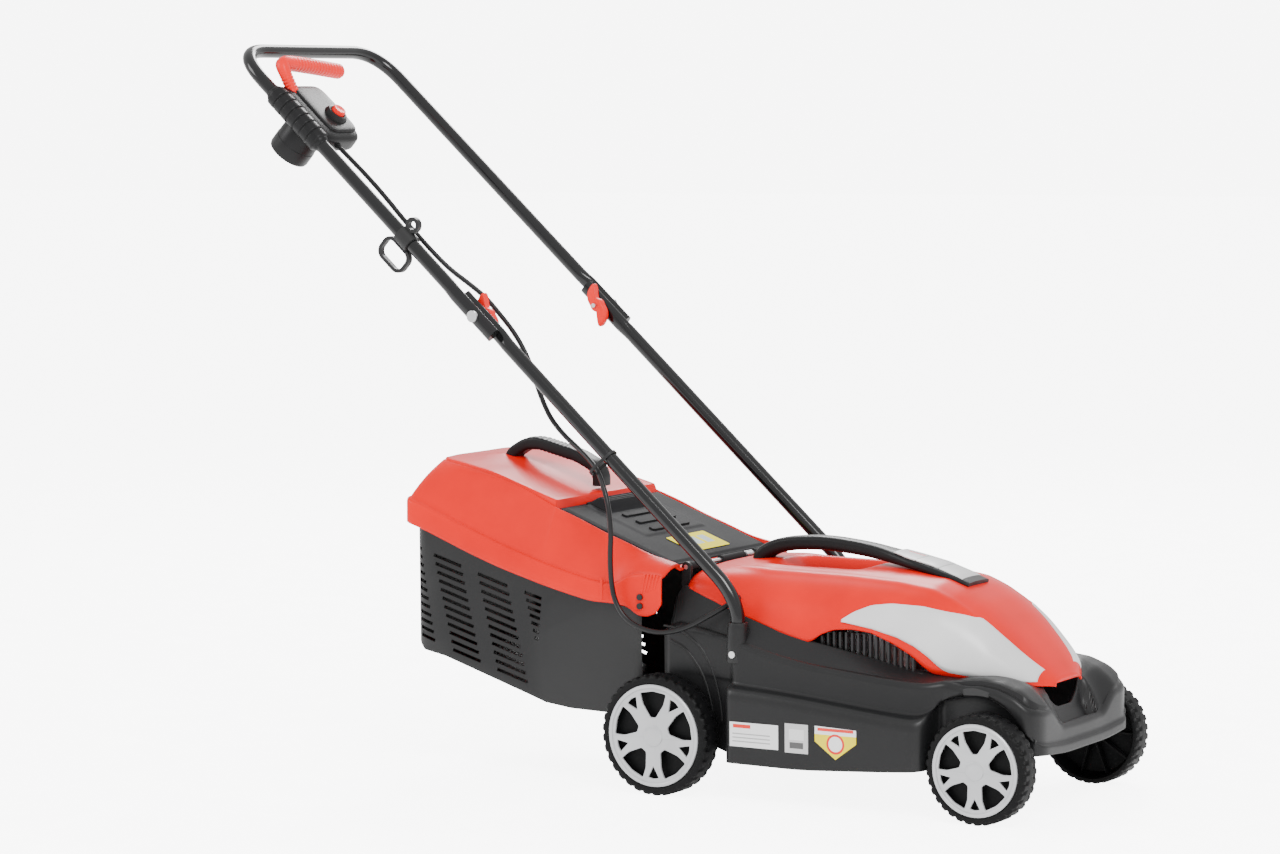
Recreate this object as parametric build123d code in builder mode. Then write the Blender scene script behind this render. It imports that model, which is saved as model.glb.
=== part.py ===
from build123d import *
import os
from math import atan2, cos, degrees, hypot, pi, radians, sin, tan

os.makedirs("parts", exist_ok=True)

# Corded rotary lawn mower, in millimetres. X points forward, Y to the left, Z up.
# Every place below is measured from the rear axle's line at ground level; write() then
# moves each piece so that the origin is the middle of the footprint on the ground.

# ---- driving dimensions -------------------------------------------------------------
WHEELBASE = 464.0
FRONT_WHEEL_R = 70.0
REAR_WHEEL_R = 80.0
FRONT_HALF_TRACK = 192.7
REAR_HALF_TRACK = 203.4
TYRE_WIDTH = 41.5
HUB_R = 12.0
AXLE_R = 5.0
AXLE_RUNNING = 0.06
CUT_TRAVEL = 26.0
RUB_GAP = 0.3

DECK_HALF = 190.0
SHOULDER_HALF = 172.0
NOSE_HALF = 149.0
REAR_HALF = 150.0
DECK_REAR = 100.0
WELL_REAR = WHEELBASE - FRONT_WHEEL_R - 6.0
NOSE_FRONT = 531.0
HOUSING_REAR = -12.0
WALL = 3.0
CEILING_Z = 150.0
CEILING = 4.0

MOTOR_X = 240.0
SHAFT_R = 6.0
BLADE_LENGTH = 338.0
BLADE_Z = 79.0
TIP_GAP = 6.0

TUBE_R = 9.5
TUBE_WALL = 1.2
SOCKET_X = 105.0
SOCKET_TOP = 232.0
SOCKET_WALL = 4.4
SOCKET_FOOT = 146.0
SOCKET_GAP = 0.1
LOWER_TUBE_Y = 158.0
UPPER_TUBE_Y = 168.0
BEND_Z = 262.8
BEND_RADIUS = 65.0
HANDLE_ANGLE = 42.28
FOLD_S = 537.0
FOLD_LAP = 38.0
FOLD_CLEAR = 6.0
FOLD_GAP = 0.4
HANDLE_LENGTH = 1074.9
CORNER_RADIUS = 45.0
BOLT_R = 3.0
BOLT_RUNNING = 0.05

BOX_HALF = 157.0
LID_HALF = 172.0
BOX_REAR = -412.0
BOX_FRONT = -35.0
LID_FRONT = -15.0
FLAP_PIN_X = 5.0
FLAP_PIN_Z = 295.0
FLAP_HALF = 112.0
FLAP_ANGLE = 20.5
FLAP_LENGTH = 206.0
FLAP_THICK = 4.0
PIN_R = 3.0

CORD_R = 3.5

# ---- derived places -----------------------------------------------------------------
SIN_H = sin(radians(HANDLE_ANGLE))
COS_H = cos(radians(HANDLE_ANGLE))
REAR_REACH = -(SOCKET_X - HANDLE_LENGTH * COS_H - TUBE_R)
ORIGIN_SHIFT = Location(((REAR_REACH - NOSE_FRONT) / 2, 0, 0))
HANDLE = Plane(origin=(SOCKET_X, 0, BEND_Z), x_dir=(-COS_H, 0, SIN_H), z_dir=(SIN_H, 0, COS_H))
SIDES = (("right", -1), ("left", 1))


def write(part, name):
    """Moves a finished piece to the object's origin, labels it and writes its file."""
    moved = part.moved(ORIGIN_SHIFT)
    moved.label = name
    export_step(moved, f"parts/{name}.step")


def on_handle(s, y, n):
    """The place s along the handle's slope from the bend, y to the left and n above its tubes."""
    return Vector(SOCKET_X - COS_H * s + SIN_H * n, y, BEND_Z + SIN_H * s + COS_H * n)


def block(plan, top, bottom, corner=0.0, inset=0.0):
    """A plan outline raised and trimmed between a top line and a bottom line in side view."""
    lowered = [(x, z - inset) for x, z in top]
    with BuildPart() as shape:
        with BuildSketch(Plane.XY.offset(-10)):
            with BuildLine():
                if corner:
                    FilletPolyline(*plan, radius=corner, close=True)
                else:
                    Polyline(*plan, close=True)
            make_face()
            if inset:
                offset(amount=-inset)
        extrude(amount=700)
        with BuildSketch(Plane.XZ):
            with BuildLine():
                Polyline(*(lowered + list(reversed(bottom))), close=True)
            make_face()
        extrude(amount=400, both=True, mode=Mode.INTERSECT)
    return shape.part


def mirror_plan(half):
    """A plan outline from its points on the right side, front to back along +Y."""
    return half + [(x, -y) for x, y in reversed(half)]


def section_block(points, radius, direction):
    """A cross-section outline (y, z) carried a long way both ways along a direction in XZ."""
    plane = Plane(origin=(0, 0, 0), x_dir=(0, 1, 0), z_dir=direction)
    with BuildPart() as shape:
        with BuildSketch(plane):
            with BuildLine():
                FilletPolyline(*points, radius=radius, close=True)
            make_face()
        extrude(amount=900, both=True)
    return shape.part


def rod(start, end, radius):
    """A round rod from one place to another."""
    axis = Vector(*end) - Vector(*start)
    with BuildPart() as shape:
        with BuildSketch(Plane(origin=start, z_dir=axis)):
            Circle(radius)
        extrude(amount=axis.length)
    return shape.part


def brick(x, y, z):
    """A plain block between two limits in each direction, to cut or add where it stands."""
    corner = (min(x), min(y), min(z))
    size = (max(x) - min(x), max(y) - min(y), max(z) - min(z))
    return Box(*size, align=(Align.MIN, Align.MIN, Align.MIN), mode=Mode.PRIVATE).moved(Location(corner))


# ---- deck ---------------------------------------------------------------------------
SKIRT_BOTTOM = [(DECK_REAR, 51), (214, 50), (WELL_REAR, 61.5)]
SKIRT_TOP = [(DECK_REAR, 150), (214, 142), (331, 130), (WELL_REAR, 126)]
SHOULDER_TOP = [(DECK_REAR, 210), (160, 196), (248, 180), (WELL_REAR, 170)]
NOSE_TOP = [(WELL_REAR - 8, 170), (453, 167), (496, 155), (517, 141), (527, 118), (NOSE_FRONT, 88)]
NOSE_BOTTOM = [(WELL_REAR - 8, 61), (NOSE_FRONT, 87)]
HOUSING_TOP = [(HOUSING_REAR, 243), (FLAP_PIN_X, 262), (DECK_REAR + 4, 233)]
HOUSING_BOTTOM_Z = 95.0
CHUTE_FLOOR_Z = 118.0
POCKET = ((478, 515), (-60, 60), (125, 190))
CHAMBER_R = BLADE_LENGTH / 2 + TIP_GAP
CHAMBER_LOW_Z = 64.0

skirt_plan = mirror_plan([(DECK_REAR, -DECK_HALF), (WELL_REAR, -DECK_HALF)][::-1])
shoulder_plan = mirror_plan([(WELL_REAR, -SHOULDER_HALF), (DECK_REAR, -SHOULDER_HALF)])
nose_plan = mirror_plan(
    [(WELL_REAR - 8, -NOSE_HALF), (NOSE_FRONT - 22, -NOSE_HALF), (NOSE_FRONT, -NOSE_HALF + 30)][::-1]
)
housing_plan = mirror_plan([(DECK_REAR + 4, -REAR_HALF), (HOUSING_REAR, -REAR_HALF)])


def height_at(line, x):
    """The height of a side-view line at a station between its ends."""
    for (x0, z0), (x1, z1) in zip(line, line[1:]):
        if x0 <= x <= x1:
            return z0 + (z1 - z0) * (x - x0) / (x1 - x0)
    raise ValueError(f"station {x} is off the line")


def low(points, floor=0.0):
    """The same stations in side view, brought down to a floor for an open-bottomed hollow."""
    return [(x, floor) for x, _ in points]


with BuildPart() as deck:
    add(block(skirt_plan, SKIRT_TOP, SKIRT_BOTTOM, corner=12))
    add(block(shoulder_plan, SHOULDER_TOP, [(x, 118) for x, _ in SHOULDER_TOP], corner=14))
    add(block(nose_plan, NOSE_TOP, NOSE_BOTTOM, corner=6))
    add(block(housing_plan, HOUSING_TOP, low(HOUSING_TOP, HOUSING_BOTTOM_Z)))
    # blade chamber: skirt, then the middle under the flat ceiling, then the hollow shoulders
    add(block(skirt_plan, SKIRT_TOP, low(SKIRT_TOP), corner=12, inset=WALL), mode=Mode.SUBTRACT)
    add(
        brick((DECK_REAR + WALL, WELL_REAR - WALL), (-SHOULDER_HALF + WALL, SHOULDER_HALF - WALL), (0, CEILING_Z)),
        mode=Mode.SUBTRACT,
    )
    for side in (-1, 1):
        add(
            block(
                [(124, side * 126), (124, side * 169), (WELL_REAR - WALL, side * 169), (WELL_REAR - WALL, side * 126)],
                [(x, z - WALL) for x, z in SHOULDER_TOP],
                low(SHOULDER_TOP),
            ),
            mode=Mode.SUBTRACT,
        )
        # hollow nose beside the hand pocket
        add(
            block(
                [(WELL_REAR - 8, side * 65), (WELL_REAR - 8, side * 146), (507, side * 146), (528, side * 117),
                 (528, side * 65)],
                [(x - WALL, z - WALL) for x, z in NOSE_TOP],
                low(NOSE_TOP),
            ),
            mode=Mode.SUBTRACT,
        )
    add(brick((WELL_REAR - 9, 474), (-65, 65), (0, CEILING_Z)), mode=Mode.SUBTRACT)
    # round wall of the blade chamber, open below and under the ceiling
    with BuildSketch(Plane.XY.offset(CHAMBER_LOW_Z)):
        with Locations((MOTOR_X, 0)):
            Circle(CHAMBER_R + WALL)
            Circle(CHAMBER_R, mode=Mode.SUBTRACT)
    extrude(amount=CHUTE_FLOOR_Z - CHAMBER_LOW_Z)
    with Locations((MOTOR_X, 0, 0)):
        Cylinder(CHAMBER_R, CHUTE_FLOOR_Z, align=(Align.CENTER, Align.CENTER, Align.MIN), mode=Mode.SUBTRACT)
    add(brick((473, NOSE_FRONT - 4), (-65, 65), (0, 114)), mode=Mode.SUBTRACT)
    add(brick(*POCKET), mode=Mode.SUBTRACT)
    # motor bay, open at the top under the cover
    with BuildSketch(Plane.XY.offset(CEILING_Z + CEILING)):
        with BuildLine():
            Polyline(*mirror_plan([(452, -66), (372, -95), (230, -122), (108, -122)]), close=True)
        make_face()
    extrude(amount=150, mode=Mode.SUBTRACT)
    # grass chute through the rear housing
    add(
        block(
            mirror_plan([(DECK_REAR, -146), (HOUSING_REAR - 8, -146)]),
            [(HOUSING_REAR - 8, 232), (FLAP_PIN_X - 2, 256), (DECK_REAR, 228)],
            [(HOUSING_REAR - 8, CHUTE_FLOOR_Z), (DECK_REAR, CHUTE_FLOOR_Z)],
        ),
        mode=Mode.SUBTRACT,
    )
    add(brick((DECK_REAR - 4, DECK_REAR + 10), (-140, 140), (CHUTE_FLOOR_Z, CEILING_Z - 4)), mode=Mode.SUBTRACT)
    add(
        brick((HOUSING_REAR + 4, DECK_REAR - 4), (-142, 142), (HOUSING_BOTTOM_Z - 5, CHUTE_FLOOR_Z - 4)),
        mode=Mode.SUBTRACT,
    )
    for side in (-1, 1):
        # handle sockets
        with Locations((SOCKET_X, side * LOWER_TUBE_Y, SOCKET_FOOT)):
            Cylinder(
                TUBE_R + SOCKET_WALL, SOCKET_TOP - SOCKET_FOOT, align=(Align.CENTER, Align.CENTER, Align.MIN)
            )
        with Locations((SOCKET_X, side * LOWER_TUBE_Y, CEILING_Z + 2)):
            Cylinder(
                TUBE_R + SOCKET_GAP, 200, align=(Align.CENTER, Align.CENTER, Align.MIN), mode=Mode.SUBTRACT
            )
        # flap hinge lugs
        add(brick((FLAP_PIN_X - 7, FLAP_PIN_X + 6), (side * 115, side * 121), (250, FLAP_PIN_Z + 6)))
        # axle guide plates, slotted for the cutting height
        add(brick((-16, 16), (side * 143, side * REAR_HALF), (REAR_WHEEL_R - 14, HOUSING_BOTTOM_Z + 26)))
        add(
            brick((WHEELBASE - 16, WHEELBASE + 16), (side * 141, side * NOSE_HALF), (FRONT_WHEEL_R - 13, 108)),
        )
    for x, z in ((0, REAR_WHEEL_R), (WHEELBASE, FRONT_WHEEL_R)):
        with BuildSketch(Plane.XZ) as slot:
            with Locations((x, z + CUT_TRAVEL / 2)):
                SlotCenterToCenter(CUT_TRAVEL, 2 * AXLE_R + 0.3, rotation=90)
        extrude(amount=250, both=True, mode=Mode.SUBTRACT)
    # motor shaft and lower bearing seat
    with Locations((MOTOR_X, 0, CEILING_Z - 10)):
        Cylinder(17, 40, mode=Mode.SUBTRACT)
    # screw holes through the sockets, pin holes in the lugs
    with BuildSketch(Plane.XZ):
        with Locations((SOCKET_X, 191)):
            Circle(2.6)
    extrude(amount=300, both=True, mode=Mode.SUBTRACT)
    with BuildSketch(Plane.XZ):
        with Locations((FLAP_PIN_X, FLAP_PIN_Z)):
            Circle(PIN_R)
    extrude(amount=130, both=True, mode=Mode.SUBTRACT)
write(deck.part, "deck")

with BuildPart() as socket_screws:
    for side in (-1, 1):
        add(rod((SOCKET_X, side * (LOWER_TUBE_Y - 14), 191), (SOCKET_X, side * 173, 191), 2.5))
        add(rod((SOCKET_X, side * 173, 191), (SOCKET_X, side * 175.5, 191), 4.5))
write(socket_screws.part, "socket_screws")

with BuildPart() as skirt_labels:
    label_out = DECK_HALF + 0.4
    for x0, x1, z0, z1 in ((110, 182, 74, 106), (192, 226, 72, 110)):
        add(brick((x0, x1), (-label_out, -DECK_HALF), (z0, z1)))
    with BuildSketch(Plane.XZ.offset(DECK_HALF)):
        with BuildLine():
            Polyline((236, 110), (296, 108), (296, 90), (266, 68), (236, 90), close=True)
        make_face()
    extrude(amount=0.4)
write(skirt_labels.part, "skirt_labels")

# ---- motor cover --------------------------------------------------------------------
COVER_REAR = FLAP_PIN_X + 10
COVER_FRONT = 503.0
COVER_TOP = [
    (COVER_REAR, 290), (22, 297), (100, 300), (230, 297), (262, 296), (345, 290), (374, 278), (408, 262),
    (451, 225), (480, 195), (494, 179), (COVER_FRONT, 172),
]
ARCH = [(206, 214), (226, 226), (290, 226), (345, 200), (370, 181)]
COVER_BOTTOM = [(COVER_REAR, 260), (DECK_REAR + 4, 234), *ARCH, (452, 170.5), (484, 166), (COVER_FRONT, 164)]
COVER_PLAN = mirror_plan(
    [(COVER_FRONT, -40), (484, -84), (440, -108), (370, -128), (230, -143), (130, -143), (60, -138),
     (COVER_REAR, -116)]
)
COVER_SECTION = [(-143, 120), (-143, 226), (-118, 272), (-84, 301), (84, 301), (118, 272), (143, 226), (143, 120)]
SCOOP = ((95, 215), (-38, 38))
SCOOP_Z = 272.0
CORD_LAST = Vector(60, -162, 236)
CORD_END = Vector(92, -136, 258)
GLAND_DIR = (CORD_END - CORD_LAST).normalized()


def cover_shape(inset, bottom):
    """The cover's outer form, or the same form one wall smaller for its hollow."""
    body = block(COVER_PLAN, COVER_TOP, bottom, inset=inset)
    section = section_block(COVER_SECTION, 24, (1, 0, 0))
    with BuildPart() as shape:
        add(body)
        add(section.moved(Location((0, 0, -inset))) if inset else section, mode=Mode.INTERSECT)
    return shape.part


with BuildPart() as motor_cover:
    add(cover_shape(0.0, COVER_BOTTOM))
    add(cover_shape(WALL, low(COVER_BOTTOM)), mode=Mode.SUBTRACT)
    add(brick((SCOOP[0][0] - WALL, SCOOP[0][1] + WALL), (-41, 41), (SCOOP_Z - WALL, 295.5)))
    add(brick(SCOOP[0], SCOOP[1], (SCOOP_Z, 400)), mode=Mode.SUBTRACT)
    add(rod(CORD_END - GLAND_DIR * 5, CORD_END + GLAND_DIR * 40, 6.2), mode=Mode.SUBTRACT)
    for side in (-1, 1):
        add(
            rod((SOCKET_X, side * LOWER_TUBE_Y, 150), (SOCKET_X, side * LOWER_TUBE_Y, 320),
                TUBE_R + SOCKET_WALL + 1.5),
            mode=Mode.SUBTRACT,
        )
write(motor_cover.part, "motor_cover")

with BuildPart() as cable_gland:
    add(rod(CORD_END, CORD_END + GLAND_DIR * 24, 6.0))
write(cable_gland.part, "cable_gland")

TRIM_LINE = [(246, 240), (290, 262), (352, 262), (440, 240), (470, 226), (496, 202), (496, 176), (392, 182),
             (368, 207), (325, 224)]
RIBS = 16
RIB_PITCH = 8.8
for name, side in SIDES:
    # a thin shield that stands off the cover's flank
    with BuildPart() as side_trim:
        with BuildSketch(Plane.XZ):
            with BuildLine():
                Polyline(*TRIM_LINE, close=True)
            make_face()
        extrude(amount=200, both=True)
        outer = cover_shape(-1.6, COVER_BOTTOM)
        inner = cover_shape(0.0, low(COVER_BOTTOM))
        add(outer, mode=Mode.INTERSECT)
        add(inner, mode=Mode.SUBTRACT)
        add(brick((200, 600), (side * -300, side * 60), (100, 400)), mode=Mode.SUBTRACT)
    write(side_trim.part, f"side_trim_{name}")

    # louvred grille standing on the deck inside the cover's arch
    with BuildPart() as vent_grille:
        seat = [(x, z + 0.2) for x, z in SHOULDER_TOP]
        ends = [(x, side * y) for x, y in ((214, 129), (214, 134), (362, 134), (362, 129))]
        add(block(ends, [(x, z + 7) for x, z in seat], seat))
        for step in range(RIBS):
            x = 215 + RIB_PITCH * step
            foot = height_at(seat, x + 3)
            add(brick((x, x + 3), (side * 128, side * 134), (foot, height_at(ARCH, x) - 1)))
    write(vent_grille.part, f"vent_grille_{name}")

CARRY_TOP = [(44, 300), (52, 312), (95, 327), (156, 333), (261, 319), (321, 305), (372, 287)]
CARRY_UNDER = [(44, 298.2), (84, 299.7), (92, 303), (118, 310), (156, 312), (222, 304), (262, 296.3), (345, 290.3),
               (372, 279.4)]
with BuildPart() as carry_handle:
    with BuildSketch(Plane.XZ):
        with BuildLine():
            Polyline(*(CARRY_TOP + CARRY_UNDER[::-1]), close=True)
        make_face()
    extrude(amount=26, both=True)
    with BuildSketch(Plane.XY.offset(200)):
        with BuildLine():
            FilletPolyline(
                *mirror_plan([(374, -25), (300, -25), (230, -15), (100, -15), (42, -18)]), radius=8, close=True
            )
        make_face()
    extrude(amount=300, mode=Mode.INTERSECT)
write(carry_handle.part, "carry_handle")

with BuildPart() as carry_handle_badge:
    add(
        block(
            mirror_plan([(368, -20), (264, -15)]),
            [(264, 319.9), (321, 306.4), (368, 290.1)],
            [(264, 318.5), (321, 305.15), (368, 288.6)],
        )
    )
write(carry_handle_badge.part, "carry_handle_badge")

BOSSES = [(60, -92), (60, 92), (398, -62), (398, 62)]
with BuildPart() as cover_screws:
    for x, y in BOSSES:
        floor = CEILING_Z + CEILING if x > DECK_REAR else 246.5
        add(rod((x, y, floor), (x, y, floor + 14), 2.2))
        add(rod((x, y, floor + 14), (x, y, floor + 17), 4.2))
write(cover_screws.part, "cover_screws")

# ---- motor --------------------------------------------------------------------------
STATOR_Z = (180.0, 240.0)
ROTOR_CORE_R = 26.0
AIR_GAP = 0.5
STATOR_R = 45.0
BEARING_R = 16.0
BEARING_H = 10.0
LOWER_BEARING_Z = 158.0
UPPER_BEARING_Z = 250.0


def ring(z0, z1, outer, inner):
    """A round ring about the motor's axis."""
    with BuildPart() as shape:
        with BuildSketch(Plane.XY.offset(z0)):
            with Locations((MOTOR_X, 0)):
                Circle(outer)
                Circle(inner, mode=Mode.SUBTRACT)
        extrude(amount=z1 - z0)
    return shape.part


with BuildPart() as motor_stator:
    add(ring(*STATOR_Z, STATOR_R, ROTOR_CORE_R + AIR_GAP))
write(motor_stator.part, "motor_stator")

with BuildPart() as motor_brackets:
    floor = CEILING_Z + CEILING
    add(ring(floor, floor + 4, 52, BEARING_R))
    add(ring(floor + 4, STATOR_Z[0], 52, 46))
    add(ring(STATOR_Z[0], STATOR_Z[1], 52, STATOR_R + 0.05))
    add(ring(STATOR_Z[1] + 6, UPPER_BEARING_Z + BEARING_H, BEARING_R + 4, BEARING_R))
    add(ring(STATOR_Z[1], STATOR_Z[1] + 4, 52, BEARING_R + 12))
    for turn in range(4):
        angle = radians(45 + 90 * turn)
        start = (MOTOR_X + 18 * cos(angle), 18 * sin(angle), STATOR_Z[1] + 9)
        end = (MOTOR_X + 48 * cos(angle), 48 * sin(angle), STATOR_Z[1] + 3)
        add(rod(start, end, 3))
write(motor_brackets.part, "motor_brackets")

with BuildPart() as motor_bearings:
    for z in (LOWER_BEARING_Z - 2, UPPER_BEARING_Z):
        add(ring(z, z + BEARING_H, BEARING_R, SHAFT_R + 0.03))
write(motor_bearings.part, "motor_bearings")

with BuildPart() as capacitor:
    add(rod((330, 0, 172), (385, 0, 172), 17))
write(capacitor.part, "capacitor")

with BuildPart() as motor_shaft:
    add(rod((MOTOR_X, 0, 92), (MOTOR_X, 0, UPPER_BEARING_Z + BEARING_H + 2), SHAFT_R))
write(motor_shaft.part, "motor_shaft")

with BuildPart() as rotor_core:
    add(ring(STATOR_Z[0] + 2, STATOR_Z[1] - 2, ROTOR_CORE_R, SHAFT_R))
write(rotor_core.part, "rotor_core")

with BuildPart() as fan_impeller:
    add(ring(128, 131, 68, SHAFT_R))
    add(ring(131, 146, 12, SHAFT_R))
    for turn in range(8):
        with BuildSketch(Plane.XY.offset(131)):
            with Locations(Location((MOTOR_X, 0, 0), (0, 0, 45 * turn))):
                with Locations((40, 0)):
                    Rectangle(48, 2.4)
        extrude(amount=13)
write(fan_impeller.part, "fan_impeller")

with BuildPart() as blade_holder:
    add(ring(BLADE_Z + 3.2, 92, 24, BOLT_R + 1))
    add(ring(92, 127, 15, SHAFT_R))
write(blade_holder.part, "blade_holder")

with BuildPart() as cutting_blade:
    with BuildSketch(Plane.XY.offset(BLADE_Z)):
        with Locations((MOTOR_X, 0)):
            RectangleRounded(BLADE_LENGTH, 44, 6)
            Circle(BOLT_R + 1, mode=Mode.SUBTRACT)
    extrude(amount=3)
    # raised sail at each trailing edge lifts the grass
    for side in (-1, 1):
        x0 = MOTOR_X + side * (BLADE_LENGTH / 2 - 62)
        x1 = MOTOR_X + side * (BLADE_LENGTH / 2 - 6)
        with BuildSketch(Plane.YZ.offset(min(x0, x1))):
            with BuildLine():
                Polyline(
                    (side * 12, BLADE_Z + 3), (side * 22, BLADE_Z + 3), (side * 24, BLADE_Z + 15),
                    (side * 21.5, BLADE_Z + 15), close=True,
                )
            make_face()
        extrude(amount=abs(x1 - x0))
write(cutting_blade.part, "cutting_blade")

with BuildPart() as blade_bolt:
    with BuildSketch(Plane.XY.offset(BLADE_Z - 7)):
        with Locations((MOTOR_X, 0)):
            RegularPolygon(9, 6)
    extrude(amount=5)
    add(ring(BLADE_Z - 2, BLADE_Z, 17, BOLT_R + 0.9))
    add(rod((MOTOR_X, 0, BLADE_Z - 2), (MOTOR_X, 0, 92), BOLT_R + 0.9))
write(blade_bolt.part, "blade_bolt")

# ---- axles and wheels ---------------------------------------------------------------
NUT_INSET = 10.0
for end, x, wheel_r, half_track in (
    ("front", WHEELBASE, FRONT_WHEEL_R, FRONT_HALF_TRACK),
    ("rear", 0.0, REAR_WHEEL_R, REAR_HALF_TRACK),
):
    tip = half_track - 6
    with BuildPart() as axle:
        add(rod((x, -tip, wheel_r), (x, tip, wheel_r), AXLE_R))
    write(axle.part, f"{end}_axle")

    with BuildPart() as push_nuts:
        for side in (-1, 1):
            face = side * (half_track - NUT_INSET)
            with BuildSketch(Plane(origin=(x, face, wheel_r), z_dir=(0, side, 0))):
                Circle(8.5)
                Circle(AXLE_R, mode=Mode.SUBTRACT)
            extrude(amount=1.5)
    write(push_nuts.part, f"{end}_push_nuts")

    cap_r = wheel_r * 0.858
    for name, side in SIDES:
        inner = half_track - TYRE_WIDTH
        outer = half_track - 2.0
        hub_in = inner - (0.0 if end == "front" else 10.0)
        hub_out = half_track - NUT_INSET - RUB_GAP
        web = half_track - 17.0
        with BuildPart() as wheel:
            # half-section of tyre, web and hub, turned about the axle
            with BuildSketch(Plane(origin=(x, 0, wheel_r), x_dir=(0, 0, 1), z_dir=(1, 0, 0))):
                with BuildLine():
                    Polyline(
                        (AXLE_R + AXLE_RUNNING, -side * hub_in),
                        (AXLE_R + AXLE_RUNNING, -side * hub_out),
                        (HUB_R, -side * hub_out),
                        (HUB_R, -side * (web + 3)),
                        (cap_r - 6, -side * (web + 3)),
                        (cap_r - 1, -side * (outer - 5)),
                        (cap_r + 1, -side * outer),
                        (wheel_r - 4, -side * (outer - 1)),
                        (wheel_r, -side * (outer - 6)),
                        (wheel_r, -side * (inner + 4)),
                        (wheel_r - 2, -side * inner),
                        (wheel_r - 8, -side * inner),
                        (wheel_r - 10, -side * (inner + 2)),
                        (wheel_r - 12, -side * web),
                        (HUB_R, -side * web),
                        (HUB_R, -side * hub_in),
                        close=True,
                    )
                make_face()
            revolve(axis=Axis((x, 0, wheel_r), (0, 1, 0)))
        write(wheel.part, f"wheel_{end}_{name}")

        with BuildPart() as hubcap:
            plane = Plane(origin=(x, side * (half_track - 4.5), wheel_r), x_dir=(0, 0, 1), z_dir=(0, side, 0))
            with BuildSketch(plane):
                Circle(cap_r - 1.4)
                for turn in range(5):
                    with Locations(Location((0, 0, 0), (0, 0, 72 * turn))):
                        with BuildLine(mode=Mode.PRIVATE) as window:
                            FilletPolyline(
                                (cap_r * 0.33, -cap_r * 0.12), (cap_r * 0.86, -cap_r * 0.22),
                                (cap_r * 0.86, cap_r * 0.22), (cap_r * 0.33, cap_r * 0.12),
                                radius=cap_r * 0.06, close=True,
                            )
                        with BuildLine(Location((0, 0, 0), (0, 0, 0)), mode=Mode.PRIVATE) as small:
                            FilletPolyline(
                                (cap_r * 0.5 * cos(radians(36)), cap_r * 0.5 * sin(radians(36))),
                                (cap_r * 0.87 * cos(radians(29)), cap_r * 0.87 * sin(radians(29))),
                                (cap_r * 0.87 * cos(radians(43)), cap_r * 0.87 * sin(radians(43))),
                                radius=cap_r * 0.03, close=True,
                            )
                        add(make_face(window.edges(), mode=Mode.PRIVATE), mode=Mode.SUBTRACT)
                        add(make_face(small.edges(), mode=Mode.PRIVATE), mode=Mode.SUBTRACT)
            extrude(amount=3.5)
            with BuildSketch(plane.offset(3.5)):
                Circle(cap_r * 0.2)
            extrude(amount=1.0)
        write(hubcap.part, f"hubcap_{end}_{name}")

# ---- handle -------------------------------------------------------------------------
LOWER_TOP_S = FOLD_S + FOLD_LAP
UPPER_END_S = FOLD_S - FOLD_LAP
MID_Y = (LOWER_TUBE_Y + UPPER_TUBE_Y) / 2


def tube(points, radius_list):
    """A round tube along straight runs and tangent arcs, hollow from end to end."""
    with BuildPart() as shape:
        with BuildLine() as path:
            FilletPolyline(*points, radius=radius_list)
        with BuildSketch(Plane(origin=path.line @ 0, z_dir=path.line % 0)):
            Circle(TUBE_R)
            Circle(TUBE_R - TUBE_WALL, mode=Mode.SUBTRACT)
        sweep()
    return shape.part


def handle_brick(s, y, n):
    """A plain block in the handle's own directions: along s, across y, and above n."""
    corner = (min(s), min(-v for v in y), min(n))
    size = (max(s) - min(s), abs(y[1] - y[0]), max(n) - min(n))
    solid = Box(*size, align=(Align.MIN, Align.MIN, Align.MIN), mode=Mode.PRIVATE)
    return solid.moved(HANDLE.location * Location(corner))


for name, side in SIDES:
    with BuildPart() as lower_tube:
        start = (SOCKET_X, side * LOWER_TUBE_Y, CEILING_Z + 3)
        bend = (SOCKET_X, side * LOWER_TUBE_Y, BEND_Z)
        end = on_handle(LOWER_TOP_S, side * LOWER_TUBE_Y, 0)
        add(tube([start, bend, end], BEND_RADIUS))
        add(
            handle_brick(
                (UPPER_END_S - FOLD_CLEAR, LOWER_TOP_S + 5), (side * (MID_Y - FOLD_GAP / 2), side * 200), (-20, 20)
            ),
            mode=Mode.SUBTRACT,
        )
        add(
            rod(on_handle(FOLD_S, side * 140, 0), on_handle(FOLD_S, side * 200, 0),
                BOLT_R + BOLT_RUNNING),
            mode=Mode.SUBTRACT,
        )
        add(rod((SOCKET_X, side * 100, 191), (SOCKET_X, side * 200, 191), 2.6), mode=Mode.SUBTRACT)
    write(lower_tube.part, f"lower_tube_{name}")

with BuildPart() as upper_tube:
    corners = [
        on_handle(UPPER_END_S, -UPPER_TUBE_Y, 0),
        on_handle(HANDLE_LENGTH, -UPPER_TUBE_Y, 0),
        on_handle(HANDLE_LENGTH, UPPER_TUBE_Y, 0),
        on_handle(UPPER_END_S, UPPER_TUBE_Y, 0),
    ]
    add(tube(corners, CORNER_RADIUS))
    for name, side in SIDES:
        add(
            handle_brick(
                (UPPER_END_S - 5, LOWER_TOP_S + FOLD_CLEAR), (side * 120, side * (MID_Y + FOLD_GAP / 2)), (-20, 20)
            ),
            mode=Mode.SUBTRACT,
        )
        add(
            rod(on_handle(FOLD_S, side * 140, 0), on_handle(FOLD_S, side * 200, 0), BOLT_R),
            mode=Mode.SUBTRACT,
        )
write(upper_tube.part, "upper_tube")

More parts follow.
